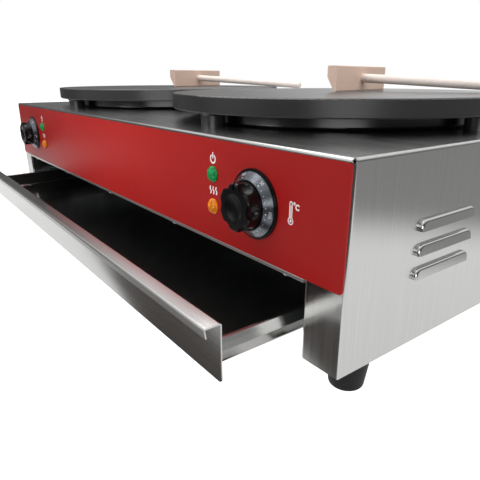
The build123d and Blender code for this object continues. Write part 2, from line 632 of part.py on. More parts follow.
def heating_element(centre):
    """Flat-pressed sheath: two open rings joined by a half turn, with both ends turned down."""
    level = RECESS_Z - SEAT_GAP - ELEMENT_SHEATH / 2
    half_gap = ELEMENT_GAP_ANGLE / 2
    turn_radius = (ELEMENT_OUTER_RADIUS - ELEMENT_INNER_RADIUS) / 2
    middle_radius = (ELEMENT_OUTER_RADIUS + ELEMENT_INNER_RADIUS) / 2
    near = radians(90 - half_gap)
    turn_middle = (centre[0] + middle_radius * cos(near), centre[1] + middle_radius * sin(near))
    long_way = 360 - ELEMENT_GAP_ANGLE
    rings = [
        CenterArc(centre, ELEMENT_OUTER_RADIUS, 90 + half_gap, long_way),
        CenterArc(turn_middle, turn_radius, 90 - half_gap, 180),
        CenterArc(centre, ELEMENT_INNER_RADIUS, 90 - half_gap, -long_way),
    ]
    sheath = Part()
    for path in rings:
        sheath += sheath_along(Pos(0, 0, level) * path, (0, 0, 1))
    far = radians(90 + half_gap)
    for path in cold_end_paths(centre, level):
        sheath += sheath_along(path, (cos(far), sin(far), 0))
    return sheath


def sheath_along(path, side):
    """Square sheath along one path; side is a direction across it that stays the same."""
    section = Plane(origin=path @ 0, x_dir=side, z_dir=path % 0) * Rectangle(ELEMENT_SHEATH, ELEMENT_SHEATH)
    return sweep(section, path=path)


def cold_end_paths(centre, level):
    """Quarter bends and straight ends of the element."""
    paths = []
    for (place, along), foot in zip(element_ends(centre), cold_end_places(centre)):
        bend_start = Vector(*place, level)
        bend_end = Vector(*foot, level - ELEMENT_BEND)
        paths.append(TangentArc(bend_start, bend_end, tangent=Vector(-along[0], -along[1], 0)))
        paths.append(Line(bend_end, bend_end - Vector(0, 0, ELEMENT_LEG - ELEMENT_BEND)))
    return paths


def element_clamp(centre):
    """Steel disc that presses the element to the plate."""
    low_z = clamp_top_z() - CLAMP_SHEET
    disc = Pos(*centre, low_z) * extrude(Circle(CLAMP_DIAMETER / 2), CLAMP_SHEET)
    above_z = low_z + CLAMP_SHEET + 1
    disc -= rod(CLAMP_SCREW_DIAMETER + BOLT_CLEARANCE, (*centre, low_z - 1), (*centre, above_z))
    return disc - cold_end_holes(centre, 2 * ELEMENT_BEND, low_z - 1, above_z)


def clamp_screw(centre):
    """Hexagon screw up through the clamp disc into the plate's boss."""
    low_z = clamp_top_z() - CLAMP_SHEET
    head = extrude(hexagon(CLAMP_SCREW_DIAMETER * HEX_HALF_WIDTH), -CLAMP_SCREW_DIAMETER * HEX_HEAD_HEIGHT)
    shank = extrude(Circle(CLAMP_SCREW_DIAMETER / 2), CLAMP_SCREW_LENGTH)
    return Pos(*centre, low_z) * (head + shank)


def sensor_bulb(centre):
    """Capillary bulb of the thermostat, lying across the ring's middle against the plate."""
    level = RECESS_Z - BULB_DIAMETER / 2 - SEAT_GAP
    start = (centre[0] - BULB_LENGTH / 2, centre[1] - BULB_OFFSET, level)
    end = (centre[0] + BULB_LENGTH / 2, centre[1] - BULB_OFFSET, level)
    return rod(BULB_DIAMETER, start, end)


# ---------------------------------------------------------------- controls


def knob_place(hand):
    """Plane on the fascia's face at a knob's axis."""
    return facing_front(hand * KNOB_X, 0, KNOB_Z)


def thermostat_screw_places():
    """Shifts of a thermostat's two screws from its spindle."""
    return [Pos(side * THERMOSTAT_SCREW_SPREAD, 0, 0) for side in (-1, 1)]


def bezel(hand):
    """Conical scale ring with a black base rim and a floor that the thermostat's screws hold."""
    inner = KNOB_COLLAR_RADIUS + KNOB_GAP
    ring = turned(
        [(BEZEL_BORE, 0), (BEZEL_RADIUS, 0), (BEZEL_RADIUS, BEZEL_BASE), (BEZEL_CONE_OUTER, BEZEL_BASE),
         (BEZEL_CONE_OUTER, BEZEL_EDGE_HEIGHT), (BEZEL_CONE_INNER, BEZEL_HEIGHT), (inner, BEZEL_HEIGHT),
         (inner, BEZEL_FLOOR), (BEZEL_BORE, BEZEL_FLOOR)],
        knob_place(hand))
    for shift in thermostat_screw_places():
        ring -= knob_place(hand) * shift * Cylinder((SCREW_DIAMETER + BOLT_CLEARANCE) / 2, 4 * BEZEL_FLOOR)
    return ring


def spindle_section(extra):
    """D-shaped section of the spindle, or of the knob's socket with some extra room."""
    radius = SPINDLE_DIAMETER / 2 + extra
    flat = Pos(0, radius - SPINDLE_FLAT / 2) * Rectangle(2 * radius, SPINDLE_FLAT)
    return Circle(radius) - flat


def knob(hand):
    """Scalloped knob: plain collar, finger flutes, dished face, pointer groove at the top."""
    collar_top = KNOB_BACK + KNOB_COLLAR
    body = turned(
        [(0, KNOB_BACK), (KNOB_COLLAR_RADIUS, KNOB_BACK), (KNOB_COLLAR_RADIUS, collar_top),
         (KNOB_RADIUS, KNOB_FRONT), (0, KNOB_FRONT)],
        Plane.XY)
    body = fillet(body.edges().group_by(Axis.Z)[-1], KNOB_EDGE_RADIUS)
    dish = (KNOB_DISH_RADIUS ** 2 + KNOB_DISH_DEPTH ** 2) / (2 * KNOB_DISH_DEPTH)
    body -= Pos(0, 0, KNOB_FRONT - KNOB_DISH_DEPTH + dish) * Sphere(dish)
    dish_rim = body.edges().group_by(Axis.Z)[-1].sort_by(SortBy.RADIUS)[0]
    body = fillet(dish_rim, KNOB_DISH_EDGE)
    deep = KNOB_RADIUS + FLUTE_RADIUS - FLUTE_DEPTH_BACK
    shallow = KNOB_RADIUS + FLUTE_RADIUS - FLUTE_DEPTH_FRONT
    flute_start = (deep, 0, collar_top + FLUTE_RADIUS)
    flute_end = (shallow, 0, KNOB_FRONT + 2)
    flute = rod(2 * FLUTE_RADIUS, flute_start, flute_end) + Pos(*flute_start) * Sphere(FLUTE_RADIUS)
    for number in range(FLUTE_COUNT):
        body -= Rot(0, 0, 90 + (number + 0.5) * 360 / FLUTE_COUNT) * flute
    groove_y = KNOB_RADIUS - POINTER_LENGTH
    half = POINTER_WIDTH / 2
    body -= block(-half, half, groove_y, KNOB_RADIUS + 1, KNOB_FRONT - POINTER_DEPTH, KNOB_FRONT + 1)
    body -= block(-half, half, KNOB_RADIUS - POINTER_DEPTH, KNOB_RADIUS + 1, collar_top, KNOB_FRONT + 1)
    socket = Pos(0, 0, KNOB_BACK - 1) * extrude(spindle_section(0), SPINDLE_ENTRY + 1)
    return knob_place(hand) * (body - socket)


def spindle(hand):
    """Thermostat spindle: round in the bush, D-shaped in the knob."""
    inner_end = -(FASCIA_THICKNESS + SHEET + THERMOSTAT_DEPTH / 2)
    round_part = Pos(0, 0, inner_end) * extrude(Circle(SPINDLE_DIAMETER / 2), KNOB_BACK - 1 - inner_end)
    flat_part = Pos(0, 0, KNOB_BACK - 1) * extrude(spindle_section(0), SPINDLE_ENTRY + 1)
    return knob_place(hand) * (round_part + flat_part)


def thermostat(hand):
    """Capillary thermostat behind the beam, with its bush, tapped holes and spade terminals."""
    front = -(FASCIA_THICKNESS + SHEET)
    outline = RectangleRounded(THERMOSTAT_WIDTH, THERMOSTAT_HEIGHT, THERMOSTAT_EDGE)
    case = Pos(0, 0, front) * extrude(outline, -THERMOSTAT_DEPTH)
    case += Pos(0, 0, front) * extrude(Circle(BUSH_DIAMETER / 2), BUSH_STAND - front)
    bore = SPINDLE_DIAMETER / 2 + SPINDLE_FIT
    inner_end = front - THERMOSTAT_DEPTH / 2 - SEAT_GAP
    case -= Pos(0, 0, inner_end) * extrude(Circle(bore), BUSH_STAND + 1 - inner_end)
    for shift in thermostat_screw_places():
        screw_end = BEZEL_FLOOR - SCREW_LENGTH
        case -= shift * Pos(0, 0, screw_end) * extrude(Circle(SCREW_DIAMETER / 2), front + 1 - screw_end)
    for shift_x in (-1, 0, 1):
        case += Pos(shift_x * TAB_PITCH, 0, front - THERMOSTAT_DEPTH - TAB_LENGTH / 2) * Box(
            TAB_SHEET, TAB_WIDTH, TAB_LENGTH)
    return knob_place(hand) * case


def lamp_place(hand, colour):
    """Plane on the fascia's face at a lamp's axis."""
    return facing_front(hand * LAMP_X, 0, LAMP_Z[colour])


def lamp_lens(hand, colour):
    """Domed lens with a flange and a stub that plugs into the lamp's barrel."""
    stub_radius = LAMP_BARREL_DIAMETER / 2 - LAMP_BARREL_WALL
    rise = LENS_RISE - LENS_RIM
    dome_radius = (LENS_RADIUS ** 2 + rise ** 2) / (2 * rise)
    lens = extrude(Circle(LENS_RADIUS), LENS_RISE) & Pos(0, 0, LENS_RISE - dome_radius) * Sphere(dome_radius)
    lens += extrude(Circle(stub_radius), -LENS_STUB)
    return lamp_place(hand, colour) * lens


def lamp_body(hand, colour):
    """Barrel through the beam with its clip ring and two spade terminals."""
    outer = LAMP_BARREL_DIAMETER / 2
    barrel = Pos(0, 0, -LAMP_BARREL_LENGTH) * extrude(Circle(outer), LAMP_BARREL_LENGTH)
    barrel -= Pos(0, 0, -LAMP_BARREL_LENGTH + LAMP_BARREL_WALL) * extrude(
        Circle(outer - LAMP_BARREL_WALL), LAMP_BARREL_LENGTH)
    clip_z = -(FASCIA_THICKNESS + SHEET + LAMP_CLIP_HEIGHT)
    clip = Circle(LAMP_CLIP_DIAMETER / 2) - Circle(outer - LAMP_BARREL_WALL / 2)
    barrel += Pos(0, 0, clip_z) * extrude(clip, LAMP_CLIP_HEIGHT)
    for side in (-1, 1):
        barrel += Pos(side * LAMP_TAB_PITCH / 2, 0, -LAMP_BARREL_LENGTH - TAB_LENGTH / 2) * Box(
            TAB_SHEET, TAB_WIDTH, TAB_LENGTH)
    return lamp_place(hand, colour) * barrel


# ---------------------------------------------------------------- drawer


def drawer_tray():
    """Folded tray: bent floor corners, walls that end in an outward hem, closed at both ends."""
    front_y = DRAWER_FACE_Y + DRAWER_SHEET
    rear_y = front_y + TRAY_DEPTH
    wall = TRAY_HALF_WIDTH - TRAY_SHEET
    hem = TRAY_HALF_WIDTH + TRAY_HEM_WIDTH
    floor_z = TRAY_Z + TRAY_SHEET
    hem_z = TRAY_TOP_Z - TRAY_HEM_DROP
    right = [(hem, hem_z), (hem, TRAY_TOP_Z), (wall, TRAY_TOP_Z), (wall, floor_z)]
    left = [(-x, z) for x, z in reversed(right)]
    radii = [TRAY_BEND, TRAY_BEND, TRAY_FLOOR_BEND, TRAY_FLOOR_BEND, TRAY_BEND, TRAY_BEND]
    tray = along_y(folded(right + left, radii, TRAY_SHEET, Side.LEFT), front_y, rear_y)
    end_line = FilletPolyline(
        (wall, TRAY_TOP_Z - TRAY_BEND), (wall, floor_z), (-wall, floor_z), (-wall, TRAY_TOP_Z - TRAY_BEND),
        radius=TRAY_FLOOR_BEND)
    end_face = make_face(end_line + Line(end_line @ 1, end_line @ 0))
    tray += along_y(end_face, front_y, front_y + TRAY_SHEET)
    tray += along_y(end_face, rear_y - TRAY_SHEET, rear_y)
    return tray


def drawer_front():
    """Drawer face folded forward at the top into a hooked pull, with rounded lower corners."""
    face_y = DRAWER_FACE_Y
    top_z = BASE_Z + DRAWER_FACE_HEIGHT
    tuck = radians(PULL_TUCK)
    corner_y = face_y - PULL_REACH - PULL_BEND * ((1 + sin(tuck)) / cos(tuck) - 1)
    section = folded(
        [(face_y + DRAWER_SHEET, BASE_Z), (face_y + DRAWER_SHEET, top_z), (corner_y, top_z),
         (corner_y + PULL_LIP * tan(tuck), top_z - PULL_LIP)],
        PULL_BEND, DRAWER_SHEET, Side.LEFT)
    front = along_x(section, -DRAWER_HALF_WIDTH, DRAWER_HALF_WIDTH)
    corners = front.edges().filter_by(Axis.Y).group_by(Axis.Z)[0]
    return fillet(corners, DRAWER_CORNER)


def drawer_runner():
    """Right runner, a stepped channel: it carries the tray, guides its wall and holds its hem down."""
    low_z = TRAY_Z - RUNNER_GAP - RUNNER_SHEET
    high_z = TRAY_TOP_Z + RUNNER_GAP + RUNNER_SHEET
    guide_x = TRAY_HALF_WIDTH + RUNNER_SIDE_GAP + RUNNER_SHEET
    step_z = TRAY_TOP_Z - TRAY_HEM_DROP - RUNNER_STEP_GAP - RUNNER_SHEET
    section = folded(
        [(TRAY_HALF_WIDTH - RUNNER_LAP, low_z), (guide_x, low_z), (guide_x, step_z), (LEG_X, step_z),
         (LEG_X, high_z), (TRAY_HALF_WIDTH, high_z)],
        RUNNER_BEND, RUNNER_SHEET, Side.LEFT)
    runner = along_y(section, STEEL_Y + BEND_RADIUS, REAR_INSIDE_Y)
    return runner - block(0, LEG_X - RUNNER_SHEET, STEEL_Y, STEEL_Y + RUNNER_SETBACK, low_z - 1, high_z + 1)


# ---------------------------------------------------------------- rear and terminals


def cable_gland(hand):
    """Gland through the rear panel: threaded tail, hexagon, domed clamping cap, straight bore."""
    place = facing_back(hand * GLAND_X, REAR_SKIN_Y, GLAND_Z)
    collar = extrude(hexagon(GLAND_HEX / 2), GLAND_HEX_LENGTH)
    tail = extrude(Circle(GLAND_THREAD_DIAMETER / 2), -GLAND_TAIL)
    cap_radius = GLAND_HEX / 2 - GLAND_CAP_STEP
    cap = Pos(0, 0, GLAND_HEX_LENGTH) * extrude(Circle(cap_radius), GLAND_DOME_LENGTH)
    dome_radius = cap_radius - GLAND_BORE_DIAMETER / 2 - GLAND_CAP_LAND
    cap = fillet(cap.faces().sort_by(Axis.Z)[-1].edges(), dome_radius)
    bore = Pos(0, 0, -2 * GLAND_TAIL) * extrude(Circle(GLAND_BORE_DIAMETER / 2), 4 * GLAND_HEX)
    return place * (collar + tail + cap - bore)


def gland_locknut(hand):
    """Locknut on the gland's tail, inside the rear panel."""
    place = facing_back(hand * GLAND_X, REAR_INSIDE_Y, GLAND_Z)
    nut = extrude(hexagon(LOCKNUT_HEX / 2), -LOCKNUT_LENGTH)
    return place * (nut - Cylinder(GLAND_THREAD_DIAMETER / 2, 4 * LOCKNUT_LENGTH))


def terminal_block(hand):
    """Ceramic terminal block on the bay's floor, with a barrier between its ways."""
    top_z = BAY_FLOOR_Z + SHEET + TERMINAL_HEIGHT
    middle_y = REAR_INSIDE_Y - TERMINAL_SETBACK
    ceramic = Pos(hand * GLAND_X, middle_y, top_z - TERMINAL_HEIGHT / 2) * Box(
        TERMINAL_LENGTH, TERMINAL_DEPTH, TERMINAL_HEIGHT)
    pitch = TERMINAL_LENGTH / TERMINAL_WAYS
    for number in range(TERMINAL_WAYS):
        way_x = hand * GLAND_X + (number - (TERMINAL_WAYS - 1) / 2) * pitch
        ceramic -= Pos(way_x, middle_y, top_z) * Box(
            pitch - TERMINAL_BARRIER, 2 * TERMINAL_DEPTH, 2 * TERMINAL_SLOT_DEPTH)
        ceramic -= rod(TERMINAL_SCREW_DIAMETER, (way_x, middle_y, top_z - TERMINAL_SCREW_DEPTH),
                       (way_x, middle_y, top_z))
    return ceramic


# ---------------------------------------------------------------- wooden spreaders


def spreader_place(side):
    """Frame of a spreader: origin on the plate under its blade's face, X along the handle."""
    centre = PLATE_CENTRES[side]
    offset = RIGHT_BLADE_OFFSET if side == "right" else LEFT_BLADE_OFFSET
    angle = RIGHT_BLADE_ANGLE if side == "right" else LEFT_BLADE_ANGLE
    out = (sin(radians(angle)), -cos(radians(angle)), 0)
    origin = (centre[0] + offset[0], centre[1] + offset[1], PLATE_TOP_Z + LOOSE_GAP)
    return Plane(origin=origin, x_dir=out, z_dir=(0, 0, 1))


def handle_slope(side):
    """Slope of a handle that leaves its blade high and lies on the plate's rim, in radians."""
    offset = RIGHT_BLADE_OFFSET if side == "right" else LEFT_BLADE_OFFSET
    angle = RIGHT_BLADE_ANGLE if side == "right" else LEFT_BLADE_ANGLE
    out = (sin(radians(angle)), -cos(radians(angle)))
    along = offset[0] * out[0] + offset[1] * out[1]
    reach = -along + sqrt(along ** 2 - offset[0] ** 2 - offset[1] ** 2 + PLATE_RADIUS ** 2)
    return atan2(HANDLE_RISE - HANDLE_DIAMETER / 2, reach)


def handle_form(side, extra):
    """Tapered handle in its spreader's frame, or the cutter for its socket with extra room."""
    tilt = Pos(0, 0, HANDLE_RISE) * Rot(0, 90 + degrees(handle_slope(side)), 0)
    wide = HANDLE_DIAMETER / 2 + extra
    thin = HANDLE_TIP_DIAMETER / 2 + extra
    length = HANDLE_ENTRY + HANDLE_LENGTH
    return tilt * Pos(0, 0, length / 2 - HANDLE_ENTRY - extra) * Cone(wide, thin, length)


def spreader_blade(side):
    """Wedge-shaped blade: upright face with the handle's socket, sloping back, thin lower edge."""
    outline = make_face(Polyline(
        (0, 0), (0, BLADE_HEIGHT), (-BLADE_TOP, BLADE_HEIGHT), (-BLADE_TOP, BLADE_SHOULDER), (-BLADE_FOOT, 0),
        close=True))
    outline = fillet(outline.vertices(), BLADE_EDGE_RADIUS)
    blade = Pos(0, BLADE_LENGTH / 2, 0) * extrude(Plane.XZ * outline, BLADE_LENGTH)
    return spreader_place(side) * (blade - handle_form(side, WOOD_FIT))


def spreader_handle(side):
    """Round handle with a rounded tip."""
    handle = handle_form(side, 0)
    tip = handle.faces().sort_by(Axis.X)[-1].edges()
    return spreader_place(side) * fillet(tip, HANDLE_TIP_ROUND)


# ---------------------------------------------------------------- the nodes

save("top_deck", top_deck())
right_panel = side_panel()
save("side_panel_right", right_panel)
save("side_panel_left", mirror(right_panel, about=Plane.YZ))
save("front_beam", front_beam())
save("fascia_panel", fascia_panel())
save("rear_panel", rear_panel())
save("bay_floor", bay_floor())

foot_places = {
    f"{end}_{side}": (hand * (SIDE_X - FOOT_INSET_X), place_y)
    for side, hand in SIDES.items()
    for end, place_y in (("front", FOOT_INSET_Y), ("rear", REAR_Y - FOOT_INSET_Y))}
for corner_name, place in foot_places.items():
    save(f"foot_{corner_name}", rubber_foot(*place))
save("foot_screws", *[foot_screw(*place) for place in foot_places.values()])

for side, centre in PLATE_CENTRES.items():
    save(f"hotplate_{side}", hotplate(centre))
    save(f"plate_posts_{side}", *[plate_post(place) for place in post_places(centre)])
    save(f"heater_pan_{side}", heater_pan(centre))
    save(f"insulation_pad_{side}", insulation_pad(centre))
    save(f"heating_element_{side}", heating_element(centre))
    save(f"element_clamp_{side}", element_clamp(centre))
    save(f"sensor_bulb_{side}", sensor_bulb(centre))
    save(f"spreader_blade_{side}", spreader_blade(side))
    save(f"spreader_handle_{side}", spreader_handle(side))
save("post_bolts", *[post_bolt(place) for centre in PLATE_CENTRES.values() for place in post_places(centre)])
save("clamp_screws", *[clamp_screw(centre) for centre in PLATE_CENTRES.values()])

for side, hand in SIDES.items():
    save(f"bezel_{side}", bezel(hand))
    save(f"knob_{side}", knob(hand))
    save(f"spindle_{side}", spindle(hand))
    save(f"thermostat_{side}", thermostat(hand))
    for colour in LAMP_Z:
        save(f"lens_{colour}_{side}", lamp_lens(hand, colour))
    save(f"cable_gland_{side}", cable_gland(hand))
    save(f"terminal_block_{side}", terminal_block(hand))
save("lamp_bodies", *[lamp_body(hand, colour) for hand in SIDES.values() for colour in LAMP_Z])
save("gland_locknuts", *[gland_locknut(hand) for hand in SIDES.values()])
save("control_screws", *[sheet_screw(knob_place(hand) * Pos(0, 0, BEZEL_FLOOR) * shift)
                         for hand in SIDES.values() for shift in thermostat_screw_places()])
save("beam_screws", *[sheet_screw(Plane(origin=(place_x, BEAM_SCREW_SETBACK, BEAM_Z), z_dir=(0, 0, -1)))
                      for place_x in beam_screw_places()])
save("rear_screws", *[sheet_screw(facing_back(hand * rear_screw_x(), REAR_Y, place_z))
                      for hand in SIDES.values() for place_z in rear_screw_heights()])

save("drawer_tray", drawer_tray())
save("drawer_front", drawer_front())
right_runner = drawer_runner()
save("drawer_runner_right", right_runner)
save("drawer_runner_left", mirror(right_runner, about=Plane.YZ))
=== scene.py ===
from math import atan2, cos, pi, radians, sin

import bmesh
import bpy
from mathutils import Euler, Matrix, Vector


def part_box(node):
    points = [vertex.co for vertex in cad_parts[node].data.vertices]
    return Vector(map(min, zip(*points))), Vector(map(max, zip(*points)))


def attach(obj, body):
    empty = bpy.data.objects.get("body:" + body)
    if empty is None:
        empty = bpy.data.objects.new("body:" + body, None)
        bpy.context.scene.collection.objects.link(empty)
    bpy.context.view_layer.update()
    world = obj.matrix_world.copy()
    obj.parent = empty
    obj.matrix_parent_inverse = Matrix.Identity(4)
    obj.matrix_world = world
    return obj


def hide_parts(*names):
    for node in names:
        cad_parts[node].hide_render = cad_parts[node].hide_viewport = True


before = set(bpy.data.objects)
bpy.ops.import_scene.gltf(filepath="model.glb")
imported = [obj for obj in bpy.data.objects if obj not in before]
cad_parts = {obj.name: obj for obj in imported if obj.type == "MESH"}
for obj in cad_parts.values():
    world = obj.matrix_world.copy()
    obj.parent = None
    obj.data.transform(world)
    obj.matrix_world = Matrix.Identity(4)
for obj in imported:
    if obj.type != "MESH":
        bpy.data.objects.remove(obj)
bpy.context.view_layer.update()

MM = 0.001


# ---- Camera
# A 35 mm view over the right front corner of the deck, a little above the plates,
# looking down the length of the machine.
CAMERA_FROM_CORNER = Vector((190.7, -234.4, 48.1)) * MM
CAMERA_PITCH = 70.23
CAMERA_ROLL = 0.1
CAMERA_YAW = 53.13

deck_low, deck_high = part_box("top_deck")
deck_corner = Vector((deck_high.x, deck_low.y, deck_high.z))
lens = bpy.data.cameras.new("camera")
lens.sensor_width = 36
lens.lens = 35.11
lens.shift_x = 0.0036
lens.shift_y = 0.0112
lens.clip_start = 0.01
camera = bpy.data.objects.new("camera", lens)
camera.location = deck_corner + CAMERA_FROM_CORNER
camera.rotation_euler = Euler((radians(CAMERA_PITCH), radians(CAMERA_ROLL), radians(CAMERA_YAW)))
bpy.context.scene.collection.objects.link(camera)
bpy.context.scene.camera = camera
bpy.context.scene.view_settings.view_transform = "Standard"


# ---- Studio table and room
# A sheet of white paper under the machine. The steel faces mirror it, and with it a painted shadow of
# the drawer and the right leg, a dark strip in front of them; a grey floor beyond the strip, a dark
# floor far off in front and to the left, and a grey room behind on the right.
PAPER_WHITE = "#F2F2F2"
SHADOW_AND_DARK_FLOOR = "#4E4A48"
GREY_FLOOR = "#B4B4B4"
GREY_ROOM = "#929292"
TABLE_HALF = 6.0             # metres from the middle to each edge
MIRRORED_GLOW = 1.25         # how strongly the paper glows in metal
MORE_GLOW_SEEN = 0.35        # and how much more to the eye
MIRRORED_SHARE = 0.75        # the share of glow in metal; the rest takes light and shadow
SEEN_SHARE = 0.86            # and to the eye
# Edges: a point on the edge in millimetres, the way across it, and half the width of its blur. The
# first three bound the painted shadow strip.
DRAWER_SHADOW_EDGE = (75, -313), (0.177, -0.984), 6         # into the strip before the drawer
LEG_SHADOW_EDGE = (300, -262), (0.35, -0.94), 12           # into the strip before the right leg
SHADOW_END = (396, -330), (-0.95, 0.31), 20          # into the strip from its right end
GREY_EDGE = (275, -342), (0.177, -0.984), 14        # out of the strip, forwards
FAR_EDGE = (0, -440), (0, -1), 45
REAR_EDGE = (670, 260), (0.68, 0.735), 130
LEFT_EDGE = (-2500, 0), (-1, 0), 600


def linear(hex_colour):
    """Scene-linear RGBA of an sRGB hex colour."""
    channels = [int(hex_colour[start:start + 2], 16) / 255 for start in (1, 3, 5)]
    return [c / 12.92 if c <= 0.04045 else ((c + 0.055) / 1.055) ** 2.4 for c in channels] + [1.0]


def add(tree, kind, inputs=(), **settings):
    """Add a node with its settings and inputs, pairs of a socket and what it gets: a value, a hex
    colour, an output, or a node, which stands for the first of its outputs in use."""
    node = tree.nodes.new(kind)
    for name, value in settings.items():
        setattr(node, name, value)
    for socket, value in inputs:
        if isinstance(value, bpy.types.Node):
            value = next(output for output in value.outputs if output.enabled)
        if isinstance(value, bpy.types.NodeSocket):
            tree.links.new(value, node.inputs[socket])
        elif isinstance(value, str) and value.startswith("#"):
            node.inputs[socket].default_value = linear(value)
        else:
            node.inputs[socket].default_value = value
    return node


def new_material(name):
    """A material, its empty node tree, and Object coordinates in that."""
    material = bpy.data.materials.new(name)
    material.use_nodes = True
    material.node_tree.nodes.clear()
    return material, material.node_tree, add(material.node_tree, "ShaderNodeTexCoord").outputs["Object"]


def beyond(tree, place, edge):
    """0 on the near side of an edge of the floor, 1 beyond it."""
    point, outward, blur = edge
    offset = add(tree, "ShaderNodeVectorMath", [
        (0, place), (1, (point[0] * MM, point[1] * MM, 0))], operation="SUBTRACT")
    out = add(tree, "ShaderNodeVectorMath", [(0, offset), (1, (*outward, 0))], operation="DOT_PRODUCT")
    return add(tree, "ShaderNodeMapRange", [
        ("Value", out), ("From Min", -blur * MM),
        ("From Max", blur * MM)], interpolation_type="SMOOTHSTEP")


def table_material():
    """Matt white paper; to the eye it is the white backdrop, with only a soft shadow. In metal it shows
    a painted shadow strip before the drawer and the right leg, and a darker floor and room further off.
    """
    material, tree, place = new_material("white paper table")
    # The painted shadow of the drawer and the right leg, which only the metal sees.
    dark = add(tree, "ShaderNodeMath", [
        (0, beyond(tree, place, DRAWER_SHADOW_EDGE)), (1, beyond(tree, place, LEG_SHADOW_EDGE))], operation="MAXIMUM")
    in_painted_shadow = add(tree, "ShaderNodeMath", [
        (0, dark), (1, beyond(tree, place, SHADOW_END))], operation="MULTIPLY")
    past_strip = add(tree, "ShaderNodeMath", [
        (0, beyond(tree, place, GREY_EDGE)), (1, in_painted_shadow)], operation="MULTIPLY")
    floor = PAPER_WHITE
    for share, colour in ((in_painted_shadow, SHADOW_AND_DARK_FLOOR), (past_strip, GREY_FLOOR),
                          (beyond(tree, place, FAR_EDGE), SHADOW_AND_DARK_FLOOR),
                          (beyond(tree, place, REAR_EDGE), GREY_ROOM),
                          (beyond(tree, place, LEFT_EDGE), SHADOW_AND_DARK_FLOOR)):
        floor = add(tree, "ShaderNodeMix", [(0, share), (6, floor), (7, colour)], data_type="RGBA")
    ray = add(tree, "ShaderNodeLightPath").outputs
    seen = add(tree, "ShaderNodeMix", [
        (0, ray["Is Glossy Ray"]), (6, PAPER_WHITE), (7, floor)], data_type="RGBA")
    glow = add(tree, "ShaderNodeMath", [
        (0, ray["Is Camera Ray"]), (1, MORE_GLOW_SEEN), (2, MIRRORED_GLOW)], operation="MULTIPLY_ADD")
    eye_share = add(tree, "ShaderNodeMath", [
        (0, ray["Is Camera Ray"]), (1, SEEN_SHARE)], operation="MULTIPLY")
    share = add(tree, "ShaderNodeMath", [
        (0, ray["Is Glossy Ray"]), (1, MIRRORED_SHARE), (2, eye_share)], operation="MULTIPLY_ADD")
    paper = add(tree, "ShaderNodeBsdfDiffuse", [(0, seen)])
    backdrop = add(tree, "ShaderNodeEmission", [(0, seen), (1, glow)])
    mixed = add(tree, "ShaderNodeMixShader", [(0, share), (1, paper), (2, backdrop)])
    add(tree, "ShaderNodeOutputMaterial", [(0, mixed)])
    return material


table_mesh = bpy.data.meshes.new("table")
table_corners = [(x * TABLE_HALF, y * TABLE_HALF, 0) for x, y in ((-1, -1), (1, -1), (1, 1), (-1, 1))]
table_mesh.from_pydata(table_corners, [], [(0, 1, 2, 3)])
table_mesh.materials.append(table_material())
table = bpy.data.objects.new("table", table_mesh)
bpy.context.scene.collection.objects.link(table)

# The room is white to the eye. In metal its left, rear and ceiling are bright, its right front is dark,
# and so is the foot of its left wall. A small bright patch in the right front, which only the metal
# sees and which lights nothing, is a painted reflection.
BRIGHT_SIDE = (-0.7, 0.15, 0.75)
LEFT_FOOT = (-1.0, 0.0, -0.6)
# A painted reflection: a bright patch that only the metal sees.
PAINTED_GLEAM = (0.74, -0.66, 0.1)
PAINTED_GLEAM_STRENGTH = 4.0
ROOM_ON_MATT = 0.52          # the room's strength on surfaces that don't mirror
world = bpy.data.worlds.new("studio room")
bpy.context.scene.world = world
world.use_nodes = True
room = world.node_tree
room.nodes.clear()
direction = add(room, "ShaderNodeTexCoord").outputs["Generated"]


def toward(axis, start, end, low, high):
    """The room's strength, which goes from low to high as the direction comes nearer to an axis."""
    nearness = add(room, "ShaderNodeVectorMath", [(0, direction), (1, axis)], operation="DOT_PRODUCT")
    return add(room, "ShaderNodeMapRange", [
        ("Value", nearness), ("From Min", start), ("From Max", end), ("To Min", low),
        ("To Max", high)], interpolation_type="SMOOTHSTEP")


bright = add(room, "ShaderNodeMath", [
    (0, toward(BRIGHT_SIDE, start=-0.3, end=0.4, low=0.1, high=1.1)),
    (1, toward(LEFT_FOOT, start=0.5, end=0.78, low=1.0, high=0.12)),
    (2, toward(PAINTED_GLEAM, start=0.93, end=0.97, low=0.0, high=PAINTED_GLEAM_STRENGTH))], operation="MULTIPLY_ADD")
ray = add(room, "ShaderNodeLightPath").outputs
mirrored = add(room, "ShaderNodeMath", [
    (0, ray["Is Glossy Ray"]), (1, ray["Is Transmission Ray"])], operation="MAXIMUM")
strength = add(room, "ShaderNodeMix", [(0, mirrored), (2, ROOM_ON_MATT), (3, bright)])
strength = add(room, "ShaderNodeMix", [(0, ray["Is Camera Ray"]), (2, strength), (3, 1.0)])
background = add(room, "ShaderNodeBackground", [(0, "#FFFFFF"), (1, strength)])
add(room, "ShaderNodeOutputWorld", [(0, background)])


def softbox(name, place, aim, width, height, power):
    """A rectangular studio lamp that faces a point; sizes in metres, power in watts."""
    lamp = bpy.data.lights.new(name, "AREA")
    lamp.shape = "RECTANGLE"
    lamp.size = width
    lamp.size_y = height
    lamp.energy = power
    holder = bpy.data.objects.new(name, lamp)
    holder.location = place
    holder.rotation_euler = (Vector(aim) - Vector(place)).to_track_quat("-Z", "Y").to_euler()
    bpy.context.scene.collection.objects.link(holder)
    return holder


softbox("ceiling softbox", place=(-0.35, -0.15, 1.75), aim=(0.0, 0.0, 0.15),
        width=2.2, height=1.6, power=26.0)
front = softbox("front softbox", place=(0.0, -0.95, 0.55), aim=(0.03, -0.2, 0.15),
                width=0.4, height=0.3, power=0.36)
front.data.spread = radians(45)
fill = softbox("right softbox", place=(2.3, 0.4, 1.0), aim=(0.0, 0.0, 0.2),
               width=1.4, height=1.0, power=17.0)
fill.visible_glossy = False


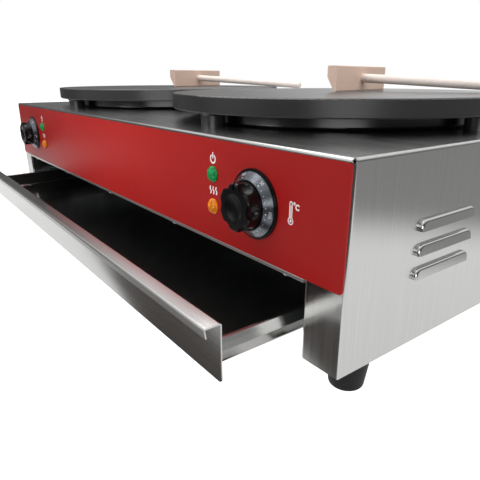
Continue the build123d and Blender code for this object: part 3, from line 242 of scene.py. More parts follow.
# ---- Brushed stainless steel casing
# Deck, side panels, front beam, rear panel and drawer are folded from 1.2 mm AISI 430 sheet,
# brushed along one direction and joined by screws.
STEEL = "#CDCDCB"
STEEL_WORN = "#B6B6B5"
UPRIGHT_TONES = "#B9B9B8", "#CDCDCB"
DECK_TONES = "#A2A2A1", "#DADAD8"
GRAIN_WIDTH = 1.1 * MM       # real scratches are 0.1 mm apart, too fine to show from here
GRAIN_LENGTH = 110 * MM
TOUCH_BLUR = 1.5 * MM        # over which a handled zone fades in
SIDES = {"left": -1, "right": 1}         # with the sign of X there


def brushed_steel(name, grain, roughness, anisotropy, tangent="Z", tones=(STEEL_WORN, STEEL),
                  handled=(-10.0, 0.0), fall=0.0):
    """Satin ferritic steel: a metal mirror broken up by fine parallel scratches along the grain axis.
    What lies in front of the handled Y is rougher by the second number, and a face that looks up
    falls forward by a slope of fall."""
    material, tree, place = new_material(name)
    scale = [1 / GRAIN_LENGTH if axis == grain else 1 / GRAIN_WIDTH for axis in "XYZ"]
    stretched = add(tree, "ShaderNodeMapping", [("Vector", place), ("Scale", scale)])
    scratches = add(tree, "ShaderNodeTexNoise", [
        ("Vector", stretched), ("Scale", 1.0), ("Detail", 3.0), ("Roughness", 0.6)])
    clouds = add(tree, "ShaderNodeTexNoise", [
        ("Vector", place), ("Scale", 1 / GRAIN_LENGTH), ("Detail", 2.0)])
    tone = add(tree, "ShaderNodeMix", [(0, scratches), (6, tones[0]), (7, tones[1])], data_type="RGBA")
    gloss = add(tree, "ShaderNodeMapRange", [
        ("Value", scratches), ("From Min", 0.3), ("From Max", 0.7), ("To Min", roughness - 0.03),
        ("To Max", roughness + 0.02)])
    smudge = add(tree, "ShaderNodeMath", [(0, clouds), (1, 0.05), (2, gloss)], operation="MULTIPLY_ADD")
    parts = add(tree, "ShaderNodeSeparateXYZ", [(0, place)])
    touched = add(tree, "ShaderNodeMapRange", [
        ("Value", parts.outputs[1]), ("From Min", handled[0]), ("From Max", handled[0] - TOUCH_BLUR),
        ("To Max", handled[1])])
    worn = add(tree, "ShaderNodeMath", [(0, touched), (1, smudge)])
    facing = add(tree, "ShaderNodeNewGeometry").outputs["Normal"]
    upward = add(tree, "ShaderNodeSeparateXYZ", [(0, facing)])
    slope = add(tree, "ShaderNodeMapRange", [
        ("Value", upward.outputs[2]), ("From Min", 0.6), ("From Max", 0.95), ("To Max", -fall)])
    lean = add(tree, "ShaderNodeCombineXYZ", [(1, slope)])
    leaning = add(tree, "ShaderNodeVectorMath", [(0, facing), (1, lean)], operation="ADD")
    leaning = add(tree, "ShaderNodeVectorMath", [(0, leaning)], operation="NORMALIZE")
    relief = add(tree, "ShaderNodeBump", [
        ("Strength", 0.025), ("Distance", 0.05 * MM), ("Height", scratches), ("Normal", leaning)])
    round_axis = add(tree, "ShaderNodeTangent", direction_type="RADIAL", axis=tangent)
    steel = add(tree, "ShaderNodeBsdfPrincipled", [
        ("Base Color", tone), ("Metallic", 1.0), ("Roughness", worn), ("Anisotropic", anisotropy),
        ("Normal", relief), ("Tangent", round_axis)])
    add(tree, "ShaderNodeOutputMaterial", [(0, steel)])
    return material


def finish(node, material):
    """Give a CAD node one material in all its slots."""
    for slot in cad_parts[node].material_slots:
        slot.material = material


steel_upright = brushed_steel("brushed stainless, upright grain", "Z", roughness=0.17, anisotropy=0.7,
                              tones=UPRIGHT_TONES)
steel_lengthwise = brushed_steel("brushed stainless, lengthwise grain", "X", roughness=0.2,
                                 anisotropy=0.5, tangent="X")
steel_deck = brushed_steel("brushed stainless, deck", "X", roughness=0.2, anisotropy=0.5, tangent="X",
                           tones=DECK_TONES)
for side in SIDES:
    finish("side_panel_" + side, steel_upright)
finish("rear_panel", steel_lengthwise)
finish("top_deck", steel_deck)
finish("front_beam", brushed_steel("satin stainless, folded edge", "X", roughness=0.42,
                                   anisotropy=0.2, tangent="X"))


# ---- Folded hem under the front beam
# The lower edge of the front beam is turned back on itself, so it shows as a bare double edge
# under the red skin. It is the beam's own sheet, folded and pressed nearly shut.
HEM_PROUD = 1.0 * MM         # before the beam's face
HEM_DEPTH = 2.0 * MM
HEM_DROP = 1.2 * MM
HEM_RISE = 2.4 * MM
HEM_TUCK = 0.2 * MM          # how far its upper end goes into the beam
HEM_SHORT = 0.5 * MM         # how far it stops before each end of the beam


def prism(shape, rings):
    """Add a closed solid between two like rings of corners."""
    first, last = [[shape.verts.new(corner) for corner in ring] for ring in rings]
    shape.faces.new(first)
    shape.faces.new(last[::-1])
    for step in range(len(first)):
        after = (step + 1) % len(first)
        shape.faces.new((first[step], last[step], last[after], first[after]))


def new_piece(name, shape, material, body="housing"):
    """Turn a bmesh into a piece of one material, which rides on a body."""
    mesh = bpy.data.meshes.new(name)
    shape.to_mesh(mesh)
    shape.free()
    mesh.materials.append(material)
    piece = bpy.data.objects.new(name, mesh)
    bpy.context.scene.collection.objects.link(piece)
    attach(piece, body)


beam_low, beam_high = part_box("front_beam")
bend = [radians(turn) for turn in (0, 30, 60, 90)]
hem_section = [(HEM_TUCK, HEM_RISE), (0.0, HEM_RISE)]
hem_section += [(-HEM_PROUD * sin(turn), HEM_RISE - HEM_PROUD * (1 - cos(turn))) for turn in bend[1:]]
hem_section += [(-HEM_PROUD * cos(turn), HEM_PROUD * (1 - sin(turn)) - HEM_DROP) for turn in bend]
hem_section += [(HEM_DEPTH, -HEM_DROP), (HEM_DEPTH, 0.0), (HEM_TUCK, 0.0)]
hem = bmesh.new()
prism(hem, [[(x, beam_low.y + y, beam_low.z + z) for y, z in hem_section]
            for x in (beam_low.x + HEM_SHORT, beam_high.x - HEM_SHORT)])
bmesh.ops.recalc_face_normals(hem, faces=hem.faces)
# The hem's tones are paler than the beam's steel: a painted highlight along the fold.
highlit_hem_steel = brushed_steel("satin stainless, folded hem, painted highlight", "X", roughness=0.3, anisotropy=0.2,
                          tangent="X", tones=("#D2D2D0", "#E6E6E4"))
new_piece("front_beam_hem", hem, highlit_hem_steel)


# ---- Red front skin
# A 1.2 mm aluminium sheet with a satin red powder coat, stuck on the beam and the legs,
# with holes for the thermostats and the lamps.
def powder_coat():
    """Satin polyester coat: a fine orange peel, colour a little uneven over a hand's width."""
    material, tree, place = new_material("red satin powder coat")
    clouds = add(tree, "ShaderNodeTexNoise", [
        ("Vector", place), ("Scale", 1 / (90 * MM)), ("Detail", 3.0)])
    colour = add(tree, "ShaderNodeMix", [(0, clouds), (6, "#A01212"), (7, "#AA1914")], data_type="RGBA")
    peel = add(tree, "ShaderNodeTexNoise", [
        ("Vector", place), ("Scale", 1 / (1.1 * MM)), ("Detail", 2.0)])
    gloss = add(tree, "ShaderNodeMapRange", [("Value", clouds), ("To Min", 0.30), ("To Max", 0.40)])
    relief = add(tree, "ShaderNodeBump", [
        ("Strength", 0.12), ("Distance", 0.03 * MM), ("Height", peel)])
    coat = add(tree, "ShaderNodeBsdfPrincipled", [
        ("Base Color", colour), ("Roughness", gloss), ("IOR", 1.4), ("Normal", relief)])
    add(tree, "ShaderNodeOutputMaterial", [(0, coat)])
    return material


finish("fascia_panel", powder_coat())


# ---- Printed marks on the red skin
# White silk-screened ink, 0.04 mm thick: a power mark over the green lamp, heat waves over the
# amber one, and a thermometer with its degree letter beside each knob.
INK = 0.04 * MM
MARK_LINE = 1.5 * MM
ARC_STEPS = 14
POWER_RISE, POWER_RADIUS = 6.4 * MM, 3.7 * MM       # the ring's middle is above the lens
POWER_BAR = 0.8 * MM, 5.2 * MM                      # from the ring's middle up
WAVE_PITCH, WAVE_HEIGHT, WAVE_SWING = 4.6 * MM, 6.2 * MM, 0.9 * MM
WAVE_STEPS = 12
THERMOMETER_X = 373.5 * MM
THERMOMETER_LINE = 0.9 * MM
BULB_DROP, BULB_RADIUS = 54.2 * MM, 2.6 * MM        # the drops are from the deck
TUBE_DROP, TUBE_RADIUS = 40.4 * MM, 1.25 * MM
COLUMN_LINE, COLUMN_START, COLUMN_STOP = 0.7 * MM, 1.6 * MM, 2.0 * MM    # from bulb and top
BLOT_RADIUS, BLOT_SIDES = 1.15 * MM, 16
DEGREE_OUT, DEGREE_RISE, DEGREE_RADIUS, DEGREE_LINE = 3.6 * MM, 0.4 * MM, 0.8 * MM, 0.8 * MM
LETTER_OUT, LETTER_DROP, LETTER_RADIUS, LETTER_LINE = 7.2 * MM, 1.9 * MM, 1.9 * MM, 1.15 * MM
FASCIA_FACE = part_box("fascia_panel")[0].y


def mottled(name, size, detail, tones, roughness, metallic=0.0):
    """A surface whose colour wanders between two tones, in patches of a real size."""
    material, tree, place = new_material(name)
    patches = add(tree, "ShaderNodeTexNoise", [
        ("Vector", place), ("Scale", 1 / size), ("Detail", detail)])
    colour = add(tree, "ShaderNodeMix", [(0, patches), (6, tones[0]), (7, tones[1])], data_type="RGBA")
    surface = add(tree, "ShaderNodeBsdfPrincipled", [
        ("Base Color", colour), ("Metallic", metallic), ("Roughness", roughness)])
    add(tree, "ShaderNodeOutputMaterial", [(0, surface)])
    return material


def stroke(shape, points, width):
    """A ribbon of ink along points (x, z), its ends half round; the mesh lies in the XZ plane."""
    line = [Vector(point) for point in points]
    closed = (line[0] - line[-1]).length < INK
    if closed:
        line.pop()
    runs = [(end - start).normalized() for start, end in zip(line, line[1:] + line[:1])]
    half = width / 2
    pairs = []
    for number, point in enumerate(line):
        before = runs[number - 1] if number or closed else runs[0]
        after = runs[number] if number < len(line) - 1 or closed else before
        mean = (before + after).normalized()
        side = Vector((-mean.y, mean.x)) * half / max(0.5, mean.dot(after))
        pairs.append([shape.verts.new((x, 0, z)) for x, z in (point + side, point - side)])
    for start, end in zip(pairs, pairs[1:] + pairs[:1] * closed):
        shape.faces.new((start[0], start[1], end[1], end[0]))
    if not closed:
        for end, run, first, last in ((line[0], -runs[0], pairs[0][1], pairs[0][0]),
                                      (line[-1], runs[len(line) - 2], pairs[-1][0], pairs[-1][1])):
            turns = [atan2(run.y, run.x) + radians(step) for step in (60, 30, 0, -30, -60)]
            cap = [shape.verts.new((end.x + half * cos(turn), 0, end.y + half * sin(turn)))
                   for turn in turns]
            shape.faces.new([first] + cap + [last])


def blot(shape, x, z, radius):
    """A round spot of ink."""
    turns = [2 * pi * number / BLOT_SIDES for number in range(BLOT_SIDES)]
    rim = [shape.verts.new((x + radius * cos(turn), 0, z + radius * sin(turn))) for turn in turns]
    shape.faces.new(rim)


def arc(x, z, radius, start, end):
    """Points on an arc, its angles in degrees from +X."""
    turns = [radians(start + (end - start) * number / ARC_STEPS) for number in range(ARC_STEPS + 1)]
    return [(x + radius * cos(turn), z + radius * sin(turn)) for turn in turns]


def raise_ink(shape, face_y):
    """Turn a flat shape into a film of ink on a face that looks along -Y."""
    for face in shape.faces:
        face.normal_update()
        if face.normal.y > 0:
            face.normal_flip()
    raised = bmesh.ops.extrude_face_region(shape, geom=shape.faces[:])
    for vertex in raised["geom"]:
        if isinstance(vertex, bmesh.types.BMVert):
            vertex.co.y -= INK
    bmesh.ops.recalc_face_normals(shape, faces=shape.faces)
    for vertex in shape.verts:
        vertex.co.y += face_y


# Matt ink, a little uneven, thin enough to let some of the ground through.
ink_white = mottled("white screen printing ink", size=0.7 * MM, detail=2.0,
                    tones=("#EDE6E4", "#FBF8F7"), roughness=0.55)
for side, hand in SIDES.items():
    low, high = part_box("lens_green_" + side)
    lamp_x = (low.x + high.x) / 2
    power_z = high.z + POWER_RISE
    gap_z = (low.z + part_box("lens_amber_" + side)[1].z) / 2
    marks = bmesh.new()
    stroke(marks, arc(lamp_x, power_z, POWER_RADIUS, 132, 408), MARK_LINE)
    stroke(marks, [(lamp_x, power_z + rise) for rise in POWER_BAR], MARK_LINE)
    for shift in (-WAVE_PITCH, 0, WAVE_PITCH):
        wave = [(lamp_x + shift + WAVE_SWING * sin(2 * pi * step / WAVE_STEPS),
                 gap_z + (step / WAVE_STEPS - 0.5) * WAVE_HEIGHT) for step in range(WAVE_STEPS + 1)]
        stroke(marks, wave, MARK_LINE)
    tube_x = hand * THERMOMETER_X
    bulb_z = deck_high.z - BULB_DROP
    top_z = deck_high.z - TUBE_DROP
    outline = arc(tube_x, bulb_z, BULB_RADIUS, 119, 421) + arc(tube_x, top_z, TUBE_RADIUS, 0, 180)
    stroke(marks, outline + outline[:1], THERMOMETER_LINE)
    blot(marks, tube_x, bulb_z, BLOT_RADIUS)
    stroke(marks, [(tube_x, bulb_z + COLUMN_START), (tube_x, top_z - COLUMN_STOP)], COLUMN_LINE)
    degree = arc(tube_x + DEGREE_OUT, top_z + DEGREE_RISE, DEGREE_RADIUS, 0, 360)
    stroke(marks, degree, DEGREE_LINE)
    stroke(marks, arc(tube_x + LETTER_OUT, top_z - LETTER_DROP, LETTER_RADIUS, 48, 312), LETTER_LINE)
    raise_ink(marks, FASCIA_FACE)
    new_piece("printed_marks_" + side, marks, ink_white)


# ---- Bay floor and drawer runners
# Folded from galvanised steel, left as it comes from the mill. The plates that clamp the heating
# elements are punched from the same sheet.
def galvanised():
    """Hot-dip zinc: dull grey with flat crystals a few millimetres across."""
    material, tree, place = new_material("galvanised steel")
    crystals = add(tree, "ShaderNodeTexVoronoi", [("Vector", place), ("Scale", 1 / (9 * MM))])
    grey = add(tree, "ShaderNodeSeparateColor", [(0, crystals.outputs["Color"])])
    colour = add(tree, "ShaderNodeMix", [(0, grey), (6, "#7D8184"), (7, "#969A9C")], data_type="RGBA")
    gloss = add(tree, "ShaderNodeMapRange", [
        ("Value", grey.outputs[1]), ("To Min", 0.38), ("To Max", 0.55)])
    zinc = add(tree, "ShaderNodeBsdfPrincipled", [
        ("Base Color", colour), ("Metallic", 1.0), ("Roughness", gloss)])
    add(tree, "ShaderNodeOutputMaterial", [(0, zinc)])
    return material


zinc_sheet = galvanised()
for sheet_name in ("bay_floor", "drawer_runner_left", "drawer_runner_right",
                   "element_clamp_left", "element_clamp_right"):
    finish(sheet_name, zinc_sheet)


# ---- Drawer
# Folded stainless tray with hemmed walls behind a folded front plate with a hooked pull. The outer
# skin of each wall's hem leans out, down to just above the runner's step.
PULL_LIP = 2.2 * MM          # how deep the pull's lip is, which hands have dulled
HEM_LEAN = 3.3 * MM
HEM_HEIGHT = 8.9 * MM
HEM_SKIN = 0.8 * MM
HEM_BITE = 0.1 * MM          # how far the skin sinks into the wall's top and side
HEM_FRONT_GAP, HEM_REAR_GAP = 0.3 * MM, 1.0 * MM    # to the tray's ends
lip_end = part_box("drawer_front")[0].y + PULL_LIP
finish("drawer_front", brushed_steel("brushed stainless, drawer face", "X", roughness=0.16,
                                     anisotropy=0.7, tangent="X", handled=(lip_end, 0.2), fall=0.1))
# The tray's tones are darker than the casing's steel: painted shade on the tray in its bay.
finish("drawer_tray", brushed_steel("darkened stainless, drawer tray, painted shade", "X", roughness=0.14, anisotropy=0.3,
                                    tangent="X", tones=("#9C9C9A", "#B2B1AE")))
tray_low, tray_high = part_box("drawer_tray")
skin_section = [(-0.3 * MM, 0.0), (0.0, 0.0), (0.35 * MM, -0.2 * MM), (0.6 * MM, -0.6 * MM),
                (HEM_LEAN, -HEM_HEIGHT), (HEM_LEAN - HEM_SKIN, -HEM_HEIGHT), (-0.3 * MM, -1.5 * MM)]
skin = bmesh.new()
for hand in SIDES.values():
    prism(skin, [[(hand * (tray_high.x - HEM_BITE + x), y, tray_high.z - HEM_BITE + z)
                  for x, z in skin_section]
                 for y in (tray_low.y + HEM_FRONT_GAP, tray_high.y - HEM_REAR_GAP)])
bmesh.ops.recalc_face_normals(skin, faces=skin.faces)
hem_worn = brushed_steel("worn stainless, tray hem", "Y", roughness=0.22, anisotropy=0.3, tangent="Y")
new_piece("drawer_tray_hems", skin, hem_worn, "drawer")


# ---- Rubber feet
# Four tapered feet, moulded in nitrile rubber. Each is held by a screw that sits in a pocket of
# its underside.
def moulded_black(name, colour, paler, roughness, grain, specular=0.5):
    """Black polymer with a fine moulded grain of the given size in millimetres."""
    material, tree, place = new_material(name)
    texture = add(tree, "ShaderNodeTexNoise", [
        ("Vector", place), ("Scale", 1 / (grain * MM)), ("Detail", 3.0)])
    gloss = add(tree, "ShaderNodeMapRange", [
        ("Value", texture), ("To Min", roughness - 0.07), ("To Max", roughness + 0.07)])
    relief = add(tree, "ShaderNodeBump", [
        ("Strength", 0.15), ("Distance", 0.05 * MM), ("Height", texture)])
    shade = add(tree, "ShaderNodeMix", [(0, texture), (6, colour), (7, paler)], data_type="RGBA")
    polymer = add(tree, "ShaderNodeBsdfPrincipled", [
        ("Base Color", shade), ("Roughness", gloss), ("IOR", 1.52), ("Specular IOR Level", specular),
        ("Normal", relief)])
    add(tree, "ShaderNodeOutputMaterial", [(0, polymer)])
    return material


rubber = moulded_black("moulded nitrile rubber", "#030303", "#0B0B0B", roughness=0.55, grain=0.8,
                       specular=0.25)
for corner in ("front_left", "front_right", "rear_left", "rear_right"):
    finish("foot_" + corner, rubber)


# ---- Screws, bolts and nuts
# Zinc-plated steel, cold formed. Pan heads with a cross recess hold the beam, the rear panel and
# the thermostats; the ones under the beam have a captive washer.
def zinc_plate():
    """Bright zinc with a faint blue passivation and fine handling marks."""
    material, tree, place = new_material("zinc-plated steel")
    marks = add(tree, "ShaderNodeTexNoise", [
        ("Vector", place), ("Scale", 1 / (1.5 * MM)), ("Detail", 3.0)])
    colour = add(tree, "ShaderNodeMix", [(0, marks), (6, "#B4BABE"), (7, "#D5D9DA")], data_type="RGBA")
    gloss = add(tree, "ShaderNodeMapRange", [("Value", marks), ("To Min", 0.2), ("To Max", 0.4)])
    plate = add(tree, "ShaderNodeBsdfPrincipled", [
        ("Base Color", colour), ("Metallic", 1.0), ("Roughness", gloss)])
    add(tree, "ShaderNodeOutputMaterial", [(0, plate)])
    return material


def repeat_tree(name, sizes):
    """A node tree that takes points and named sizes in metres."""
    tree = bpy.data.node_groups.new(name, "GeometryNodeTree")
    tree.interface.new_socket("Points", in_out="INPUT", socket_type="NodeSocketGeometry")
    for size in sizes:
        tree.interface.new_socket(size, in_out="INPUT", socket_type="NodeSocketFloat")
    tree.interface.new_socket("Mesh", in_out="OUTPUT", socket_type="NodeSocketGeometry")
    return tree, add(tree, "NodeGroupInput").outputs


def close_tree(tree, points, shape, material, turn=None):
    """End a tree: a copy of a shape on each point, its Z along the point's facing and turned about
    it, made real in one material."""
    facing = add(tree, "GeometryNodeInputNamedAttribute", [
        ("Name", "facing")], data_type="FLOAT_VECTOR")
    way = add(tree, "FunctionNodeAlignRotationToVector", [("Vector", facing)], axis="Z")
    if turn:
        way = add(tree, "FunctionNodeRotateRotation", [(0, way), (1, turn)], rotation_space="LOCAL")
    copies = add(tree, "GeometryNodeInstanceOnPoints", [
        ("Points", points), ("Instance", shape), ("Rotation", way)])
    real = add(tree, "GeometryNodeRealizeInstances", [(0, copies)])
    painted = add(tree, "GeometryNodeSetMaterial", [("Geometry", real), ("Material", material)])
    add(tree, "NodeGroupOutput", [(0, painted)])
    return tree


def grow(name, tree, sizes, seats):
    """Run a tree over seats, each a place and the way that its copy faces. Gives a plain mesh piece."""
    points = bpy.data.meshes.new(name)
    points.from_pydata([seat[0] for seat in seats], [], [])
    facing = points.attributes.new("facing", "FLOAT_VECTOR", "POINT")
    for number, seat in enumerate(seats):
        facing.data[number].vector = seat[1]
    piece = bpy.data.objects.new(name, points)
    modifier = piece.modifiers.new("repeat", "NODES")
    modifier.node_group = tree
    for socket in tree.interface.items_tree:
        if socket.in_out == "INPUT" and socket.name in sizes:
            modifier[socket.identifier] = sizes[socket.name]
    bpy.context.scene.collection.objects.link(piece)
    evaluated = piece.evaluated_get(bpy.context.evaluated_depsgraph_get())
    mesh = bpy.data.meshes.new_from_object(evaluated)
    piece.modifiers.remove(modifier)
    piece.data = mesh
    return piece


bright_zinc = zinc_plate()
SCREW = {"Head Diameter": 7.6 * MM, "Head Height": 2.2 * MM, "Shank Diameter": 4.0 * MM,
         "Shank Length": 8.0 * MM, "Recess Width": 0.9 * MM, "Recess Length": 4.4 * MM}
TALL_SCREW = {**SCREW, "Head Height": 6.4 * MM}     # with a captive washer
KNOB_SCREW_PITCH = 28 * MM
MOST_TURN = 0, 0, 1.57       # a quarter turn, after which the recess looks the same


def screw_tree():
    """Pan heads with a cross recess on plain shanks, each turned to a chance angle."""
    tree, size = repeat_tree("cross-recessed screws", SCREW)
    twice = add(tree, "ShaderNodeMath", [(0, size["Head Height"]), (1, 2.0)], operation="MULTIPLY")
    ball_size = add(tree, "ShaderNodeCombineXYZ", [
        (0, size["Head Diameter"]), (1, size["Head Diameter"]), (2, twice)])
    ball = add(tree, "GeometryNodeMeshUVSphere", [("Segments", 24), ("Rings", 12), ("Radius", 0.5)])
    dome = add(tree, "GeometryNodeTransform", [("Geometry", ball), ("Scale", ball_size)])
    crown = add(tree, "ShaderNodeCombineXYZ", [(2, size["Head Height"])])
    below = add(tree, "ShaderNodeVectorMath", [(0, crown), (1, (0, 0, -1))], operation="MULTIPLY")
    # Two slots make the cross, and a block takes the ball's lower half away.
    cutters = []
    for length, width, place in (("Recess Length", "Recess Width", crown),
                                 ("Recess Width", "Recess Length", crown),
                                 ("Head Diameter", "Head Diameter", below)):
        box_size = add(tree, "ShaderNodeCombineXYZ", [(0, size[length]), (1, size[width]), (2, twice)])
        box = add(tree, "GeometryNodeMeshCube", [("Size", box_size)])
        cutters.append(add(tree, "GeometryNodeTransform", [("Geometry", box), ("Translation", place)]))
    cuts = [("Mesh 1", dome)] + [("Mesh 2", cutter) for cutter in cutters]
    head = add(tree, "GeometryNodeMeshBoolean", cuts, operation="DIFFERENCE", solver="EXACT")
    radius = add(tree, "ShaderNodeMath", [(0, size["Shank Diameter"]), (1, 0.5)], operation="MULTIPLY")
    shank = add(tree, "GeometryNodeMeshCylinder", [
        ("Vertices", 16), ("Radius", radius), ("Depth", size["Shank Length"])])
    sunk = add(tree, "ShaderNodeMath", [(0, size["Shank Length"]), (1, -0.5)], operation="MULTIPLY")
    down = add(tree, "ShaderNodeCombineXYZ", [(2, sunk)])
    low_shank = add(tree, "GeometryNodeTransform", [("Geometry", shank), ("Translation", down)])
    screw = add(tree, "GeometryNodeJoinGeometry", [(0, head), (0, low_shank)])
    chance = add(tree, "FunctionNodeRandomValue", [
        ("Max", MOST_TURN), ("Seed", 7)], data_type="FLOAT_VECTOR")
    turn = add(tree, "FunctionNodeEulerToRotation", [(0, chance)])
    return close_tree(tree, size["Points"], screw, bright_zinc, turn)


def spread(low, high, count):
    """Evenly spaced places of screws whose heads just fit between two ends."""
    first = low + SCREW["Head Diameter"] / 2
    last = high - SCREW["Head Diameter"] / 2
    return [first + (last - first) * number / (count - 1) for number in range(count)]


screws = screw_tree()
low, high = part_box("beam_screws")
under_beam = [(x, (low.y + high.y) / 2, low.z + SCREW["Head Height"])
              for x in spread(low.x, high.x, count=5)]
low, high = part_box("rear_screws")
behind = [(x, high.y - SCREW["Head Height"], z)
          for x in spread(low.x, high.x, count=2) for z in spread(low.z, high.z, count=4)]
low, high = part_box("control_screws")
left_x, right_x = spread(low.x, high.x, count=2)
under_knobs = [(x, low.y + SCREW["Head Height"], (low.z + high.z) / 2)
               for x in (left_x, left_x + KNOB_SCREW_PITCH, right_x - KNOB_SCREW_PITCH, right_x)]
for node, sizes, seats, way in (("beam_screws", TALL_SCREW, under_beam, (0, 0, -1)),
                                ("rear_screws", SCREW, behind, (0, 1, 0)),
                                ("control_screws", SCREW, under_knobs, (0, -1, 0))):
    group = grow("cross_recessed_" + node, screws, sizes, [(seat, way) for seat in seats])
    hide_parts(node)
    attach(group, "housing")
for group in ("foot_screws", "post_bolts", "clamp_screws"):
    finish(group, bright_zinc)


# ---- Cast iron plates and posts
# Grey iron plates, faced on a lathe and seasoned black, on posts turned from iron bar and bolted
# to the deck. A pressed and enamelled pan closes each plate from below.
def seasoned_iron():
    """Seasoned grey iron: nearly black, fine pits from the sand and a dull oil sheen."""
    material, tree, place = new_material("seasoned cast iron")
    sand = add(tree, "ShaderNodeTexNoise", [
        ("Vector", place), ("Scale", 1 / (0.8 * MM)), ("Detail", 5.0), ("Roughness", 0.7)])
    clouds = add(tree, "ShaderNodeTexNoise", [
        ("Vector", place), ("Scale", 1 / (70 * MM)), ("Detail", 3.0)])
    colour = add(tree, "ShaderNodeMix", [(0, sand), (6, "#272728"), (7, "#3C3C3D")], data_type="RGBA")
    gloss = add(tree, "ShaderNodeMapRange", [("Value", clouds), ("To Min", 0.24), ("To Max", 0.34)])
    relief = add(tree, "ShaderNodeBump", [("Strength", 0.1), ("Distance", 0.05 * MM), ("Height", sand)])
    iron = add(tree, "ShaderNodeBsdfPrincipled", [
        ("Base Color", colour), ("Metallic", 0.25), ("Roughness", gloss), ("Normal", relief)])
    add(tree, "ShaderNodeOutputMaterial", [(0, iron)])
    return material


def shaded_black_enamel():
    """Vitreous enamel fired on the pressed pan: glossy, slightly wavy, and darker than real black
    enamel, which paints in the shade under the plate.
    """
    material, tree, place = new_material("black vitreous enamel, darkened as painted shade")
    waves = add(tree, "ShaderNodeTexNoise", [
        ("Vector", place), ("Scale", 1 / (12 * MM)), ("Detail", 2.0)])
    colour = add(tree, "ShaderNodeMix", [(0, waves), (6, "#08080A"), (7, "#131314")], data_type="RGBA")
    relief = add(tree, "ShaderNodeBump", [("Strength", 0.1), ("Distance", 0.2 * MM), ("Height", waves)])
    shaded_enamel = add(tree, "ShaderNodeBsdfPrincipled", [
        ("Base Color", colour), ("Roughness", 0.22), ("Normal", relief)])
    add(tree, "ShaderNodeOutputMaterial", [(0, shaded_enamel)])
    return material


iron = seasoned_iron()
shaded_enamel = shaded_black_enamel()
for side in SIDES:
    finish("hotplate_" + side, iron)
    finish("plate_posts_" + side, iron)
    finish("heater_pan_" + side, shaded_enamel)


# ---- Heating parts inside the pans
# A mineral-insulated element in a nickel alloy sheath lies against each plate, clamped, with ceramic
# felt under it and the thermostat's copper sensor bulb beside it.
def pressed_felt():
    """Ceramic fibre felt: off-white, matt, with loose fibres about 2 mm long."""
    material, tree, place = new_material("ceramic fibre felt")
    fibres = add(tree, "ShaderNodeTexNoise", [
        ("Vector", place), ("Scale", 1 / (2 * MM)), ("Detail", 6.0), ("Distortion", 1.5)])
    colour = add(tree, "ShaderNodeMix", [(0, fibres), (6, "#C9C3B6"), (7, "#EEEAE0")], data_type="RGBA")
    relief = add(tree, "ShaderNodeBump", [
        ("Strength", 0.6), ("Distance", 0.3 * MM), ("Height", fibres)])
    felt = add(tree, "ShaderNodeBsdfPrincipled", [
        ("Base Color", colour), ("Roughness", 0.95), ("Normal", relief)])
    add(tree, "ShaderNodeOutputMaterial", [(0, felt)])
    return material


# The sheath is oxidised green-grey by its first heating. The copper is tarnished brown in patches.
sheath_alloy = mottled("oxidised nickel alloy sheath", size=14 * MM, detail=3.0,
                       tones=("#3F433B", "#5C5A4E"), roughness=0.6, metallic=0.7)
copper = mottled("drawn copper", size=6 * MM, detail=4.0, tones=("#8A4A31", "#D08A66"),
                 roughness=0.35, metallic=1.0)
felt = pressed_felt()
for side in SIDES:
    finish("heating_element_" + side, sheath_alloy)
    finish("insulation_pad_" + side, felt)
    finish("sensor_bulb_" + side, copper)


# ---- Thermostat knobs and scale rings
# Knobs moulded in black phenolic over a D-shaped spindle. The rings are die cast, painted
# graphite on the cone and black on the rim, and hold a printed scale.
BLACK_RIM, PAINT_BLUR = 2.2 * MM, 0.2 * MM          # from the ring's back


def bezel_paint(side):
    """Graphite metallic paint on the cone, black satin paint on the rim behind it."""
    material, tree, place = new_material("graphite paint, " + side)
    rim_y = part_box("bezel_" + side)[1].y - BLACK_RIM
    parts = add(tree, "ShaderNodeSeparateXYZ", [(0, place)])
    ahead = add(tree, "ShaderNodeMapRange", [
        ("Value", parts.outputs[1]), ("From Min", rim_y - PAINT_BLUR), ("From Max", rim_y),
        ("To Min", 1.0), ("To Max", 0.0)])
    flakes = add(tree, "ShaderNodeTexVoronoi", [("Vector", place), ("Scale", 1 / (0.4 * MM))])
    flake = add(tree, "ShaderNodeSeparateColor", [(0, flakes.outputs["Color"])])
    graphite = add(tree, "ShaderNodeMix", [
        (0, flake), (6, "#4E5258"), (7, "#72767C")], data_type="RGBA")
    colour = add(tree, "ShaderNodeMix", [(0, ahead), (6, "#0B0B0C"), (7, graphite)], data_type="RGBA")
    metal = add(tree, "ShaderNodeMath", [(0, ahead), (1, 0.9)], operation="MULTIPLY")
    gloss = add(tree, "ShaderNodeMapRange", [
        ("Value", flake.outputs[1]), ("To Min", 0.18), ("To Max", 0.26)])
    relief = add(tree, "ShaderNodeBump", [
        ("Strength", 0.1), ("Distance", 0.03 * MM), ("Height", flake.outputs[2])])
    paint = add(tree, "ShaderNodeBsdfPrincipled", [
        ("Base Color", colour), ("Metallic", metal), ("Roughness", gloss), ("Normal", relief)])
    add(tree, "ShaderNodeOutputMaterial", [(0, paint)])
    return material


phenolic = moulded_black("moulded black phenolic", "#050506", "#0E0F11", roughness=0.24, grain=0.5,
                         specular=0.25)
for side in SIDES:
    finish("bezel_" + side, bezel_paint(side))
    finish("knob_" + side, phenolic)
    finish("spindle_" + side, bright_zinc)

